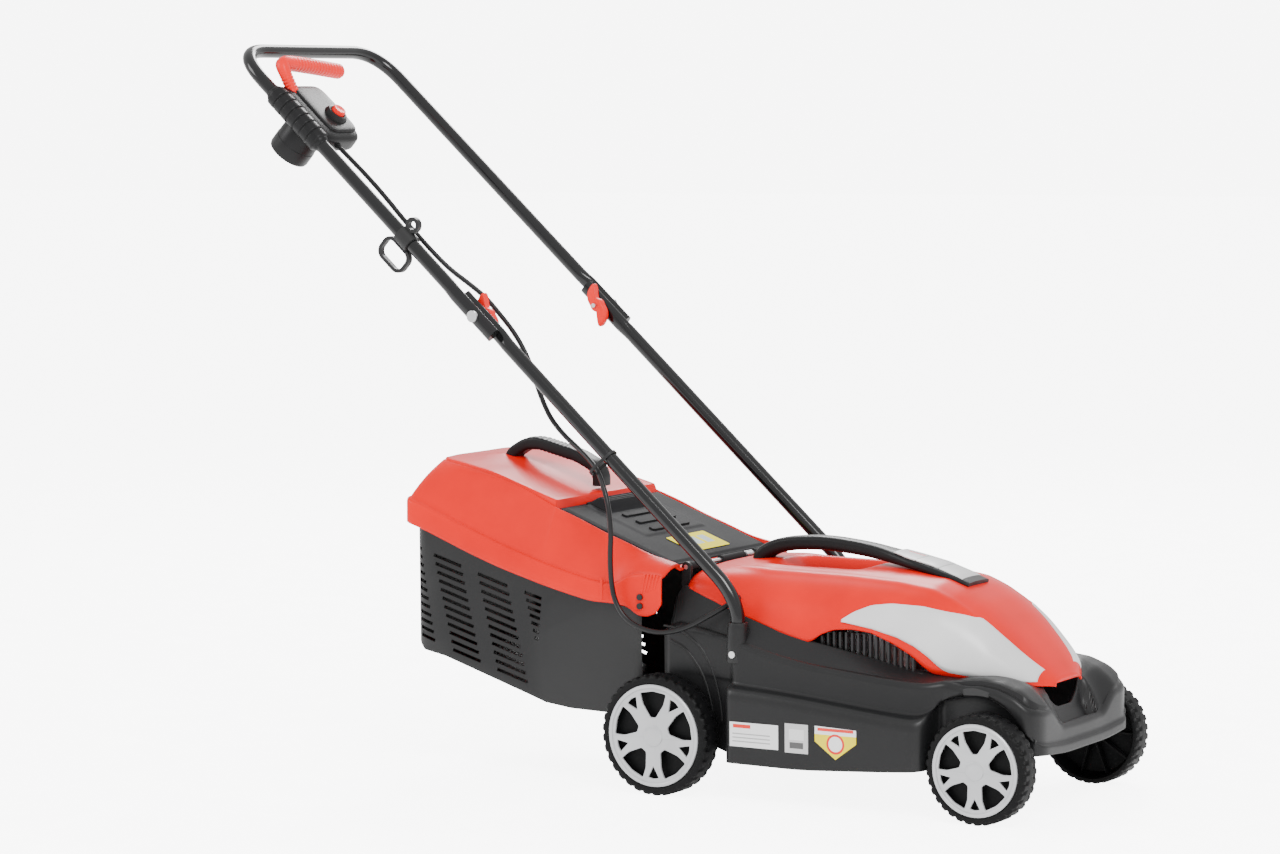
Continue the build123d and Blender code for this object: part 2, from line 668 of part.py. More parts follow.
NUT_OUT = LOWER_TUBE_Y - TUBE_R - RUB_GAP
NUT_IN = NUT_OUT - 18
with BuildPart() as fold_bolts:
    for side in (-1, 1):
        head = side * (UPPER_TUBE_Y + TUBE_R)
        add(rod(on_handle(FOLD_S, side * (NUT_IN - 2), 0), on_handle(FOLD_S, head, 0), BOLT_R))
        add(rod(on_handle(FOLD_S, head, 0), on_handle(FOLD_S, head + side * 3.5, 0), 8))
write(fold_bolts.part, "fold_bolts")

for name, side in SIDES:
    with BuildPart() as wing_nut:
        add(rod(on_handle(FOLD_S, side * NUT_IN, 0), on_handle(FOLD_S, side * NUT_OUT, 0), 12))
        for way in (-1, 1):
            add(handle_brick((FOLD_S + way * 6, FOLD_S + way * 33), (side * NUT_IN, side * (NUT_IN + 12)),
                             (way * 5 - 5, way * 5 + 5)))
        add(
            rod(on_handle(FOLD_S, side * (NUT_IN - 5), 0), on_handle(FOLD_S, side * (NUT_OUT + 5), 0),
                BOLT_R + BOLT_RUNNING),
            mode=Mode.SUBTRACT,
        )
    write(wing_nut.part, f"wing_nut_{name}")

# ---- switch box on the right upper tube ----------------------------------------------
BOX_S = (880.0, 990.0)
BOX_Y = (-183.0, -82.0)
BOX_SPLIT_N = 0.0
BOX_TOP_N = 16.0
BOX_LOW_N = -14.0
BOX_WALL = 2.5
LEVER_S = 972.0
LEVER_N = 2.0
LEVER_SLOT = (-155.0, -129.0)
LEVER_SLOT_S = 955.0
BUTTON_S = 920.0
BUTTON_Y = -110.0
BUTTON_R = 10.0
INLET_S = 930.0
INLET_Y = -139.0
INLET_R = 29.0
INLET_BORE_R = 25.5
INLET_END_N = -61.0
INLET_MOUTH = 20.0
INLET_SEAT_R = 24.9
CLAMP_Y = -156.0


def switch_half(low_n, high_n, open_high):
    """One half of the switch box: an open tray with solid clamp cheeks round the tube."""
    with BuildPart() as half:
        with BuildSketch(HANDLE.offset(low_n)):
            with Locations(((BOX_S[0] + BOX_S[1]) / 2, -(BOX_Y[0] + BOX_Y[1]) / 2)):
                RectangleRounded(BOX_S[1] - BOX_S[0], BOX_Y[1] - BOX_Y[0], 10)
        extrude(amount=high_n - low_n)
        inner = (low_n + BOX_WALL, high_n) if open_high else (low_n, high_n - BOX_WALL)
        add(
            handle_brick((BOX_S[0] + BOX_WALL, LEVER_SLOT_S - BOX_WALL), (CLAMP_Y, BOX_Y[1] - BOX_WALL), inner),
            mode=Mode.SUBTRACT,
        )
        add(handle_brick((LEVER_SLOT_S, 1000), LEVER_SLOT, (low_n - 5, high_n + 5)), mode=Mode.SUBTRACT)
        add(rod(on_handle(870, -UPPER_TUBE_Y, 0), on_handle(1000, -UPPER_TUBE_Y, 0), TUBE_R + 0.05),
            mode=Mode.SUBTRACT)
        add(rod(on_handle(LEVER_S, CLAMP_Y - 2, LEVER_N), on_handle(LEVER_S, -124, LEVER_N), 3.0),
            mode=Mode.SUBTRACT)
    return half.part


with BuildPart() as switch_box_cover:
    add(switch_half(BOX_SPLIT_N, BOX_TOP_N, False))
    add(rod(on_handle(BUTTON_S, BUTTON_Y, BOX_TOP_N), on_handle(BUTTON_S, BUTTON_Y, BOX_TOP_N + 6), 14))
    add(rod(on_handle(BUTTON_S, BUTTON_Y, 4), on_handle(BUTTON_S, BUTTON_Y, 40), BUTTON_R + RUB_GAP),
        mode=Mode.SUBTRACT)
    add(rod(on_handle(BOX_S[0] - 20, -134, 1), on_handle(BOX_S[0] + 14, -134, 1), 5.5), mode=Mode.SUBTRACT)
write(switch_box_cover.part, "switch_box_cover")

with BuildPart() as switch_box_base:
    add(switch_half(BOX_LOW_N, BOX_SPLIT_N, True))
    add(rod(on_handle(INLET_S, INLET_Y, BOX_LOW_N), on_handle(INLET_S, INLET_Y, INLET_END_N), INLET_R))
    add(rod(on_handle(INLET_S, INLET_Y, BOX_LOW_N - 5), on_handle(INLET_S, INLET_Y, INLET_END_N - 5), INLET_SEAT_R),
        mode=Mode.SUBTRACT)
    add(rod(on_handle(INLET_S, INLET_Y, INLET_END_N + INLET_MOUTH), on_handle(INLET_S, INLET_Y, INLET_END_N - 5),
            INLET_BORE_R),
        mode=Mode.SUBTRACT)
    for y in (-9, 9):
        add(rod(on_handle(INLET_S, INLET_Y + y, BOX_LOW_N - 6), on_handle(INLET_S, INLET_Y + y, BOX_LOW_N + 5), 2.4),
            mode=Mode.SUBTRACT)
    add(rod(on_handle(BOX_S[0] - 20, -134, 1), on_handle(BOX_S[0] + 14, -134, 1), 5.5), mode=Mode.SUBTRACT)
write(switch_box_base.part, "switch_box_base")

with BuildPart() as inlet_pins:
    for y in (-9, 9):
        add(rod(on_handle(INLET_S, INLET_Y + y, BOX_LOW_N - 26), on_handle(INLET_S, INLET_Y + y, BOX_LOW_N + 8), 2.4))
write(inlet_pins.part, "inlet_pins")

with BuildPart() as micro_switch:
    add(handle_brick((934, 950), (-150, -124), (-9, 10)))
write(micro_switch.part, "micro_switch")

with BuildPart() as switch_box_screws:
    for s in (890, 945):
        add(rod(on_handle(s, -87, BOX_LOW_N - 1.5), on_handle(s, -87, BOX_LOW_N), 3.2))
write(switch_box_screws.part, "switch_box_screws")

with BuildPart() as lever_pin:
    add(rod(on_handle(LEVER_S, CLAMP_Y - 2, LEVER_N), on_handle(LEVER_S, -124, LEVER_N), 3.0))
write(lever_pin.part, "lever_pin")

GRIP_S = 1010.0
GRIP_N = 26.0
GRIP_R = 11.0
with BuildPart() as switch_lever:
    add(rod(on_handle(LEVER_S, -153, LEVER_N), on_handle(LEVER_S, -131, LEVER_N), 8))
    with BuildSketch(Plane(origin=on_handle(0, -152, 0), x_dir=(-COS_H, 0, SIN_H), z_dir=(0, 1, 0))):
        with BuildLine():
            Polyline((LEVER_S - 4, LEVER_N + 7), (LEVER_S + 7, LEVER_N - 4), (GRIP_S + 8, GRIP_N - 6),
                     (GRIP_S - 6, GRIP_N + 8), close=True)
        make_face()
    extrude(amount=20)
    add(rod(on_handle(GRIP_S, -152, GRIP_N), on_handle(GRIP_S - 4, -8, GRIP_N - 6), GRIP_R))
    add(rod(on_handle(LEVER_S, -158, LEVER_N), on_handle(LEVER_S, -128, LEVER_N), 3.05), mode=Mode.SUBTRACT)
write(switch_lever.part, "switch_lever")

BUTTON_TRAVEL = 4.0
with BuildPart() as lock_button:
    add(rod(on_handle(BUTTON_S, BUTTON_Y, 7), on_handle(BUTTON_S, BUTTON_Y, 31), BUTTON_R))
    add(rod(on_handle(BUTTON_S, BUTTON_Y, 7), on_handle(BUTTON_S, BUTTON_Y, 10), BUTTON_R + 3))
write(lock_button.part, "lock_button")

# cable hook: a split collar on the tube, a hook loop below it and a small eye above it
HOOK_S = 690.0
with BuildPart() as cable_hook:
    with BuildSketch(Plane(origin=on_handle(HOOK_S - 12, -UPPER_TUBE_Y, 0), z_dir=(-COS_H, 0, SIN_H))):
        Circle(TUBE_R + 3.5)
        Circle(TUBE_R + 0.05, mode=Mode.SUBTRACT)
    extrude(amount=24)
    with BuildSketch(Plane(origin=on_handle(0, -UPPER_TUBE_Y + 4, 0), x_dir=(-COS_H, 0, SIN_H), z_dir=(0, 1, 0))):
        with Locations((HOOK_S, -29)):
            RectangleRounded(52, 36, 14)
            RectangleRounded(42, 26, 9, mode=Mode.SUBTRACT)
    extrude(amount=-8)
    with BuildSketch(Plane(origin=on_handle(0, -UPPER_TUBE_Y + 4, 0), x_dir=(-COS_H, 0, SIN_H), z_dir=(0, 1, 0))):
        with Locations((HOOK_S + 4, 21.5)):
            Circle(11)
            Circle(6, mode=Mode.SUBTRACT)
    extrude(amount=-8)
write(cable_hook.part, "cable_hook")

# ---- motor lead ---------------------------------------------------------------------
# The route's points, chosen by hand: beside the right upper tube (s, y, n along the handle)
# and then, past the tie, hanging outside the grass box to the gland.
ON_HANDLE_ROUTE = [
    (874, -134, 1), (845, -136, 3), (806, -138, 5), (765, -138, 4), (728, -137, 1), (700, -139, 2),
    (664, -138, 1), (628, -133, 0), (596, -125, 3), (566, -119, 5), (535, -118, 3), (504, -118, 1),
    (474, -121, -4), (447, -126, -11), (418, -132, -22), (394, -136, -30), (370, -139, -36),
    (340, -142, -36), (312, -147, -31), (286, -157, -25), (262, -168, -21),
]
HANGING_ROUTE = [
    (-88, -177, 403), (-77, -183, 378), (-72, -185, 345), (-74, -185, 312), (-73, -185, 280), (-68, -185, 254),
    (-53, -185, 231), (-29, -184, 218), (2, -181, 213), (33, -174, 220),
]
route = [on_handle(*point) for point in ON_HANDLE_ROUTE] + [Vector(*point) for point in HANGING_ROUTE]
route += [CORD_LAST, CORD_END]
cord_radii = []
for before, here, after in zip(route, route[1:], route[2:]):
    half_turn = radians((here - before).get_angle(after - here)) / 2
    shorter = min((here - before).length, (after - here).length)
    cord_radii.append(0.45 * shorter / tan(half_turn))
print("cord radii", [round(radius) for radius in cord_radii])
with BuildPart() as motor_lead:
    with BuildLine() as lead_path:
        FilletPolyline(*route, radius=cord_radii)
    with BuildSketch(Plane(origin=lead_path.line @ 0, z_dir=lead_path.line % 0)):
        Circle(CORD_R)
    sweep()
lead_length = sum(edge.length for edge in lead_path.edges())
print("cord length", round(lead_length, 1), "tube to section times length",
      round(motor_lead.part.volume / (lead_length * pi * CORD_R**2), 4))
write(motor_lead.part, "motor_lead")

SLEEVE_LENGTH = 19.0
with BuildPart() as lead_sleeve:
    add(rod(route[0], route[0] + (route[0] - route[1]).normalized() * SLEEVE_LENGTH, 4.6))
write(lead_sleeve.part, "lead_sleeve")

TIE_S = 262.0
with BuildPart() as cable_tie:
    tie_plane = Plane(origin=on_handle(TIE_S, -163, -10), x_dir=(0, 1, 0), z_dir=(-COS_H, 0, SIN_H))
    with BuildSketch(tie_plane):
        lean = degrees(atan2(-21, 10))
        SlotCenterToCenter(hypot(10, 21), 2 * TUBE_R + 3.2, rotation=lean)
        SlotCenterToCenter(hypot(10, 21), 2 * TUBE_R + 0.4, rotation=lean, mode=Mode.SUBTRACT)
    extrude(amount=4)
write(cable_tie.part, "cable_tie")

# ---- rear flap ----------------------------------------------------------------------
FLAP_DIR = (-cos(radians(FLAP_ANGLE)), 0, sin(radians(FLAP_ANGLE)))
FLAP_UP = (sin(radians(FLAP_ANGLE)), 0, cos(radians(FLAP_ANGLE)))
FLAP = Plane(origin=(FLAP_PIN_X, 0, FLAP_PIN_Z), x_dir=FLAP_DIR, z_dir=FLAP_UP)
BARREL_R = 6.0
with BuildPart() as rear_flap:
    with BuildSketch(FLAP.offset(-FLAP_THICK)):
        with Locations((FLAP_LENGTH / 2, 0)):
            Rectangle(FLAP_LENGTH, 2 * FLAP_HALF)
    extrude(amount=FLAP_THICK)
    with BuildSketch(FLAP):
        with Locations((FLAP_LENGTH - 16, 0)):
            RectangleRounded(30, 56, 5)
    extrude(amount=14)
    with BuildSketch(FLAP):
        for s in (104, 124, 144):
            with Locations((s, 0)):
                RectangleRounded(7, 34, 2)
    extrude(amount=2.5)
    for y0, y1 in ((-FLAP_HALF, -60), (-30, 30), (60, FLAP_HALF)):
        add(rod((FLAP_PIN_X, y0, FLAP_PIN_Z), (FLAP_PIN_X, y1, FLAP_PIN_Z), BARREL_R))
    for y0, y1 in ((-60, -30), (30, 60)):
        add(brick((FLAP_PIN_X - 9, FLAP_PIN_X + 9), (y0, y1), (FLAP_PIN_Z - 9, FLAP_PIN_Z + 12)), mode=Mode.SUBTRACT)
    add(rod((FLAP_PIN_X, -130, FLAP_PIN_Z), (FLAP_PIN_X, 130, FLAP_PIN_Z), PIN_R + BOLT_RUNNING),
        mode=Mode.SUBTRACT)
write(rear_flap.part, "rear_flap")

with BuildPart() as flap_label:
    with BuildSketch(FLAP):
        with Locations((56, 0)):
            RectangleRounded(46, 100, 3)
    extrude(amount=0.4)
write(flap_label.part, "flap_label")

with BuildPart() as flap_pin:
    add(rod((FLAP_PIN_X, -122, FLAP_PIN_Z), (FLAP_PIN_X, 122, FLAP_PIN_Z), PIN_R))
write(flap_pin.part, "flap_pin")

with BuildPart() as flap_spring:
    with BuildLine() as coil:
        Helix(pitch=2.2, height=17.6, radius=4.6, center=(FLAP_PIN_X, 36, FLAP_PIN_Z), direction=(0, 1, 0))
    with BuildSketch(Plane(origin=coil.line @ 0, z_dir=coil.line % 0)):
        Circle(0.8)
    sweep(is_frenet=True)
write(flap_spring.part, "flap_spring")

# ---- grass box ----------------------------------------------------------------------
RIM = [(BOX_REAR, 342), (-371, 326), (-305, 303), (-225, 279), (-161, 261), (-98, 247), (-60, 240)]
LID_TOP = [(BOX_REAR - 4, 372), (BOX_REAR + 8, 421), (-340, 412), (-206, 378), (-125, 354), (-48, 328), (LID_FRONT, 312)]
LID_BOTTOM = RIM + [(LID_FRONT, 240)]
LID_SLOPE = (cos(radians(16.6)), 0, -sin(radians(16.6)))
LID_CORNER = 22.0
RECESS_HALF = FLAP_HALF + 3.5
RECESS_REAR_S = FLAP_LENGTH + 4
FLOOR_N = -FLAP_THICK - 0.6
lid_plan = mirror_plan([(LID_FRONT, -LID_HALF), (BOX_REAR + 60, -LID_HALF), (BOX_REAR - 2, -150)])


def lid_section(inset):
    """The lid's cross-section, square to its slope: upright rim, leaning sides, flat top."""
    half = [
        (LID_HALF - inset, -60), (LID_HALF - inset, 262), (LID_HALF - 4 - inset, 290), (118 - inset, 305.5 - inset)
    ]
    outline = half + [(-y, z) for y, z in reversed(half)]
    return section_block(outline, 10, LID_SLOPE)


def lid_shape(inset, bottom):
    """The lid's outer form, or the same form one wall smaller for its hollow."""
    with BuildPart() as shape:
        add(block(lid_plan, LID_TOP, bottom, corner=LID_CORNER, inset=inset))
        add(lid_section(inset), mode=Mode.INTERSECT)
    return shape.part


def flap_brick(s, half, n):
    """A block in the flap's own directions, as wide as twice the half width."""
    size = (max(s) - min(s), 2 * half, max(n) - min(n))
    solid = Box(*size, align=(Align.MIN, Align.CENTER, Align.MIN), mode=Mode.PRIVATE)
    return solid.moved(FLAP.location * Location((min(s), 0, min(n))))


with BuildPart() as lid_tub:
    # the sunk bed that the flap lies in, trimmed by the lid's own outside
    add(flap_brick((10, RECESS_REAR_S + WALL), RECESS_HALF + WALL, (FLOOR_N - WALL, 60)))
    add(lid_shape(0.0, low(LID_BOTTOM)), mode=Mode.INTERSECT)

with BuildPart() as box_lid:
    add(lid_shape(0.0, LID_BOTTOM))
    add(lid_shape(WALL, low(LID_BOTTOM)), mode=Mode.SUBTRACT)
    add(brick((LID_FRONT - 5, 20), (-LID_HALF + WALL, LID_HALF - WALL), (200, 290)), mode=Mode.SUBTRACT)
    add(lid_tub.part)
    add(flap_brick((0, RECESS_REAR_S), RECESS_HALF, (FLOOR_N, 80)), mode=Mode.SUBTRACT)
    add(flap_brick((0, 150), 98, (-60, 80)), mode=Mode.SUBTRACT)
    for side in (-1, 1):
        add(brick((-62, -1), (side * 160, side * LID_HALF), (240, 286)))
write(box_lid.part, "box_lid")

BASKET_BOTTOM = [(BOX_REAR + 4, 178), (-392, 163), (-357, 156), (-219, 112), (-195, 104), (-155, 99), (BOX_FRONT, 96)]
basket_plan = mirror_plan([(BOX_FRONT, -BOX_HALF), (BOX_REAR + 4, -BOX_HALF)])
basket_inner = mirror_plan([(BOX_FRONT + 40, -BOX_HALF + WALL), (BOX_REAR + 4 + WALL, -BOX_HALF + WALL)])
basket_top = RIM + [(BOX_FRONT, 238)]
SLOT_HEIGHT = 4.6
SLOPE = 16.8
# each column of air slots: rows, then left and right ends at its top and at its bottom
SLOT_COLUMNS = [
    (12, (-404, 304), (-396, 301), (-398, 184), (-374, 176)),
    (12, (-376, 295), (-329, 281), (-346, 166), (-299, 152)),
    (12, (-304, 273), (-254, 258), (-274, 144), (-223, 129)),
    (7, (-228, 252), (-200, 244), (-212, 191), (-206, 189)),
]
with BuildPart() as box_basket:
    add(block(basket_plan, basket_top, BASKET_BOTTOM, corner=20))
    add(
        block(basket_inner, [(x + 0.0, z + 30) for x, z in basket_top] + [(20, 268)],
              [(x, z + WALL) for x, z in BASKET_BOTTOM] + [(20, 96 + WALL)], corner=17),
        mode=Mode.SUBTRACT,
    )
    with BuildSketch(Plane.XZ):
        for rows, top_left, top_right, low_left, low_right in SLOT_COLUMNS:
            for row in range(rows):
                down = row / (rows - 1)
                x0 = top_left[0] + (low_left[0] - top_left[0]) * down
                z0 = top_left[1] + (low_left[1] - top_left[1]) * down
                x1 = top_right[0] + (low_right[0] - top_right[0]) * down
                z1 = top_right[1] + (low_right[1] - top_right[1]) * down
                with Locations(Location(((x0 + x1) / 2, (z0 + z1) / 2, 0), (0, 0, degrees(atan2(z1 - z0, x1 - x0))))):
                    Rectangle(max(x1 - x0, 6), SLOT_HEIGHT)
    extrude(amount=200, both=True, mode=Mode.SUBTRACT)
write(box_basket.part, "box_basket")

HANDLE_OUT = [(-357, 408), (-351, 430), (-322, 446), (-298, 448), (-232, 432), (-200, 416), (-192, 396), (-192, 384)]
HANDLE_IN = [(-340, 408), (-337, 418), (-318, 429), (-298, 430), (-238, 414), (-216, 404), (-211, 396), (-211, 384)]
with BuildPart() as box_handle:
    with BuildSketch(Plane.XZ):
        with BuildLine():
            Polyline(*(HANDLE_OUT + HANDLE_IN[::-1]), close=True)
        make_face()
    extrude(amount=14, both=True)
    add(lid_shape(-0.3, low(LID_BOTTOM)), mode=Mode.SUBTRACT)
write(box_handle.part, "box_handle")

with BuildPart() as box_pins:
    for side in (-1, 1):
        for z in (246, 258):
            add(rod((-36, side * LID_HALF, z), (-36, side * (LID_HALF + 2.5), z), 4.2))
write(box_pins.part, "box_pins")
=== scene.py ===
import logging
import math
from dataclasses import dataclass
from enum import Enum

import bmesh
import bpy
import numpy as np
from mathutils import Matrix, Vector


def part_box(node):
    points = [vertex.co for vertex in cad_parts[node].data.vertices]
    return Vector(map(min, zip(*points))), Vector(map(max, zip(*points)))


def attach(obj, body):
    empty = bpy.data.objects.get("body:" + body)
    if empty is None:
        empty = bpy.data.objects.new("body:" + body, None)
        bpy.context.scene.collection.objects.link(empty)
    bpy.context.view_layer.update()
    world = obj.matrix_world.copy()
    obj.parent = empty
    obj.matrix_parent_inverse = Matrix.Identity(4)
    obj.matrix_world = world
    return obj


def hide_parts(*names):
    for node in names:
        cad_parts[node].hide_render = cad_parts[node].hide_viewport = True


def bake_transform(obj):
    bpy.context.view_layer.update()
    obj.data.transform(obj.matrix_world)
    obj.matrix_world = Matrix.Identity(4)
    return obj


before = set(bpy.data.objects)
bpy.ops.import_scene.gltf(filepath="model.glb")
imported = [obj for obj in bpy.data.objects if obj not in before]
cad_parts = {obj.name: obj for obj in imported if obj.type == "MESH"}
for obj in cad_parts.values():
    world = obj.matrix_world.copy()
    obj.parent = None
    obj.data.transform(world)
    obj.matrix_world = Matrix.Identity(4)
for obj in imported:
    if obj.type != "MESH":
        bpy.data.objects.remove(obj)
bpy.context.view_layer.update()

LOG = logging.getLogger("mower")
logging.basicConfig(level=logging.INFO, format="%(name)s: %(message)s")

Piece = bpy.types.Object
Tree = bpy.types.NodeTree
Socket = bpy.types.NodeSocket
Pair = tuple[float, float]
Triple = tuple[float, float, float]
Knots = tuple[Pair, ...]

MM = 0.001
SIDES = (("right", -1.0), ("left", 1.0))


def middle(node: str) -> np.ndarray:
    """The middle of a CAD node's box, in millimetres."""
    low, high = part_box(node)
    return (np.array(low) + np.array(high)) / 2 / MM


REAR_AXLE_X = float(middle("rear_axle")[0])


# ---- geometry -------------------------------------------------------------------------
@dataclass(frozen=True)
class Axes:
    """A local set of directions, in millimetres from the rear axle's line on the ground.

    Args:
        origin: where the local zero stands.
        x, y, z: the three local directions.
    """

    origin: Triple
    x: Triple = (1.0, 0.0, 0.0)
    y: Triple = (0.0, 1.0, 0.0)
    z: Triple = (0.0, 0.0, 1.0)

    def place(self, points: np.ndarray) -> np.ndarray:
        """Carries local points into the mower's own directions.

        Args:
            points: local places, last axis of three.
        Returns:
            The same array of places, from the rear axle's line on the ground.
        """
        basis = np.array([self.x, self.y, self.z], float)
        return np.array(self.origin, float) + np.asarray(points, float) @ basis


def smooth_step(value: np.ndarray, low: float, high: float) -> np.ndarray:
    """Rises from 0 at low to 1 at high along an S-shaped cubic."""
    t = np.clip((value - low) / (high - low), 0, 1)
    return t * t * (3 - 2 * t)


def bump(value: np.ndarray, low: float, high: float, soft: float) -> np.ndarray:
    """One between low and high, falling to nought over the soft width inside each end."""
    return smooth_step(value, low, low + soft) * (1 - smooth_step(value, high - soft, high))


def soften(stations: np.ndarray, reach: np.ndarray, step: float, turn: int = 8) -> np.ndarray:
    """Rounds the corners of a polyline whose rows hold a place and what goes with it.

    Each corner becomes a parabola between two points, one on each side, at the reach from the
    corner or at 0.45 of the edge if that is less; straight stretches are sampled evenly.

    Args:
        stations: rows of values; the first two columns are the plan place.
        reach: how far from each corner its curve starts.
        step: spacing of samples on the straight stretches.
        turn: number of samples on each corner.
    Returns:
        The sampled rows, open at both ends.
    """
    gaps = np.linalg.norm(np.diff(stations[:, :2], axis=0), axis=1)
    rows = [stations[:1]]
    last = stations[0]
    for i in range(1, len(stations) - 1):
        before = min(reach[i] / max(gaps[i - 1], 1e-6), 0.45)
        after = min(reach[i] / max(gaps[i], 1e-6), 0.45)
        enter = stations[i] + (stations[i - 1] - stations[i]) * before
        leave = stations[i] + (stations[i + 1] - stations[i]) * after
        count = max(int(np.linalg.norm((enter - last)[:2]) / step), 1)
        rows.append(last + (enter - last) * np.linspace(0, 1, count + 1)[1:, None])
        t = np.linspace(0, 1, turn)[1:, None]
        rows.append((1 - t) ** 2 * enter + 2 * t * (1 - t) * stations[i] + t**2 * leave)
        last = leave
    count = max(int(np.linalg.norm((stations[-1] - last)[:2]) / step), 1)
    rows.append(last + (stations[-1] - last) * np.linspace(0, 1, count + 1)[1:, None])
    return np.vstack(rows)


def soften_loop(corners: np.ndarray, reach: float, step: float) -> np.ndarray:
    """Rounds every corner of a closed outline.

    Args:
        corners: plan corners in order.
        reach: how far from each corner its curve starts.
        step: spacing on straight stretches.
    Returns:
        The sampled loop, without a repeated end.
    """
    seam = (corners[-1] + corners[0]) / 2
    ring = np.vstack([seam, corners, seam])
    return soften(ring, np.full(len(ring), reach), step, 6)[:-1]


def mirrored(right: np.ndarray, across: list[int]) -> np.ndarray:
    """Rows of the right side followed by the left side's, in order round the front or rear.

    Args:
        right: rows whose last one lies on the middle plane.
        across: columns that change sign.
    Returns:
        All rows, with the middle one once.
    """
    left = right[-2::-1].copy()
    left[:, across] *= -1
    return np.vstack([right, left])


def curve_at(places: np.ndarray, knots: list[Pair], ease: float = 10.0) -> np.ndarray:
    """A side-view line read at many places, with its corners eased.

    The line is averaged over a window of twice the ease by a five-point rule.

    Args:
        places: where to read it.
        knots: the line's corners as (place, value).
        ease: half the width of the averaging window.
    Returns:
        One value for each place.
    """
    x, z = np.array(knots, float).T
    shares = np.array([1, 2, 3, 2, 1]) / 9
    offsets = np.linspace(-1, 1, 5) * ease
    return sum(share * np.interp(places + shift, x, z) for share, shift in zip(shares, offsets))


def make_mesh(name: str, verts: np.ndarray, faces: list, recalc: bool = True) -> Piece:
    """Builds an object at the origin from places in millimetres and welds doubled points.

    Args:
        name: the piece's name.
        verts: places from the rear axle's line on the ground.
        faces: index tuples.
        recalc: whether all faces are turned outwards.
    Returns:
        The new object, linked to the scene.
    """
    mesh = bpy.data.meshes.new(name)
    world = (np.asarray(verts, float).reshape(-1, 3) + [REAR_AXLE_X, 0, 0]) * MM
    mesh.from_pydata(world.tolist(), [], faces)
    work = bmesh.new()
    work.from_mesh(mesh)
    bmesh.ops.remove_doubles(work, verts=work.verts, dist=1e-6)
    if recalc:
        bmesh.ops.recalc_face_normals(work, faces=work.faces)
    work.to_mesh(mesh)
    work.free()
    obj = bpy.data.objects.new(name, mesh)
    bpy.context.scene.collection.objects.link(obj)
    return obj


def grid_faces(rows: int, columns: int, wrap_rows: bool = False, wrap_columns: bool = False) -> list:
    """Index quads of a grid, row by row, closed round either way if asked."""
    r = np.arange(rows if wrap_rows else rows - 1)
    c = np.arange(columns if wrap_columns else columns - 1)
    rr, cc = np.meshgrid(r, c, indexing="ij")
    r1, c1 = (rr + 1) % rows, (cc + 1) % columns
    quads = np.stack([rr * columns + cc, rr * columns + c1, r1 * columns + c1, r1 * columns + cc], -1)
    return quads.reshape(-1, 4).tolist()


def sheet_piece(
    name: str, points: np.ndarray, wall: float = 0.0, wrap_rows: bool = False, wrap_columns: bool = False,
    caps: bool = False, sharp: float = 38.0,
) -> Piece:
    """A surface given on a grid of places, with a wall thickness or closed ends if asked.

    Args:
        name: the piece's name.
        points: places, rows by columns by three.
        wall: thickness grown inwards, in millimetres.
        wrap_rows: whether the last row joins the first.
        wrap_columns: whether each row is a closed loop.
        caps: whether the first and last rows are filled.
        sharp: edges turning by more than this many degrees stay crisp.
    Returns:
        The piece.
    """
    rows, columns = points.shape[:2]
    faces = grid_faces(rows, columns, wrap_rows, wrap_columns)
    if caps:
        faces += [list(range(columns)), list(range((rows - 1) * columns, rows * columns))]
    obj = make_mesh(name, points, faces)
    if wall:
        solid = obj.modifiers.new("wall", "SOLIDIFY")
        solid.thickness = wall * MM
        solid.offset = -1
    obj.data.shade_smooth()
    obj.data.set_sharp_from_angle(angle=math.radians(sharp))
    return obj


def bevelled(obj: Piece, width: float, segments: int = 3) -> Piece:
    """Rounds a piece's crisp edges with a live bevel of the given width in millimetres."""
    round_off = obj.modifiers.new("edge", "BEVEL")
    round_off.width = width * MM
    round_off.segments = segments
    round_off.limit_method = "ANGLE"
    round_off.angle_limit = math.radians(35)
    round_off.harden_normals = True
    return obj


def plate(
    name: str, outline: np.ndarray, low: float, high: float, axes: Axes, width: float = 0.8
) -> Piece:
    """A flat piece: an outline in the local plane raised between two heights, edges rounded.

    Args:
        name: the piece's name.
        outline: local plan corners, one loop.
        low, high: its two faces along the local z.
        axes: where the local plane stands.
        width: bevel width.
    Returns:
        The piece.
    """
    count = len(outline)
    flat = [np.column_stack([outline, np.full(count, height)]) for height in (low, high)]
    faces = grid_faces(2, count, wrap_columns=True) + [list(range(count)), list(range(count, 2 * count))]
    obj = make_mesh(name, axes.place(np.vstack(flat)), faces)
    obj.data.shade_smooth()
    obj.data.set_sharp_from_angle(angle=math.radians(30))
    return bevelled(obj, width) if width else obj


def rounded_rectangle(length: float, width: float, radius: float, centre: Pair = (0, 0)) -> np.ndarray:
    """A rectangle's outline with quarter-circle corners, one loop of places."""
    angles = np.linspace(0, math.pi / 2, 6)
    loops = []
    for k, (sx, sy) in enumerate(((1, 1), (-1, 1), (-1, -1), (1, -1))):
        middle_x, middle_y = sx * (length / 2 - radius), sy * (width / 2 - radius)
        turn = angles + k * math.pi / 2
        loops.append(np.column_stack([middle_x + radius * np.cos(turn), middle_y + radius * np.sin(turn)]))
    return np.vstack(loops) + np.array(centre)


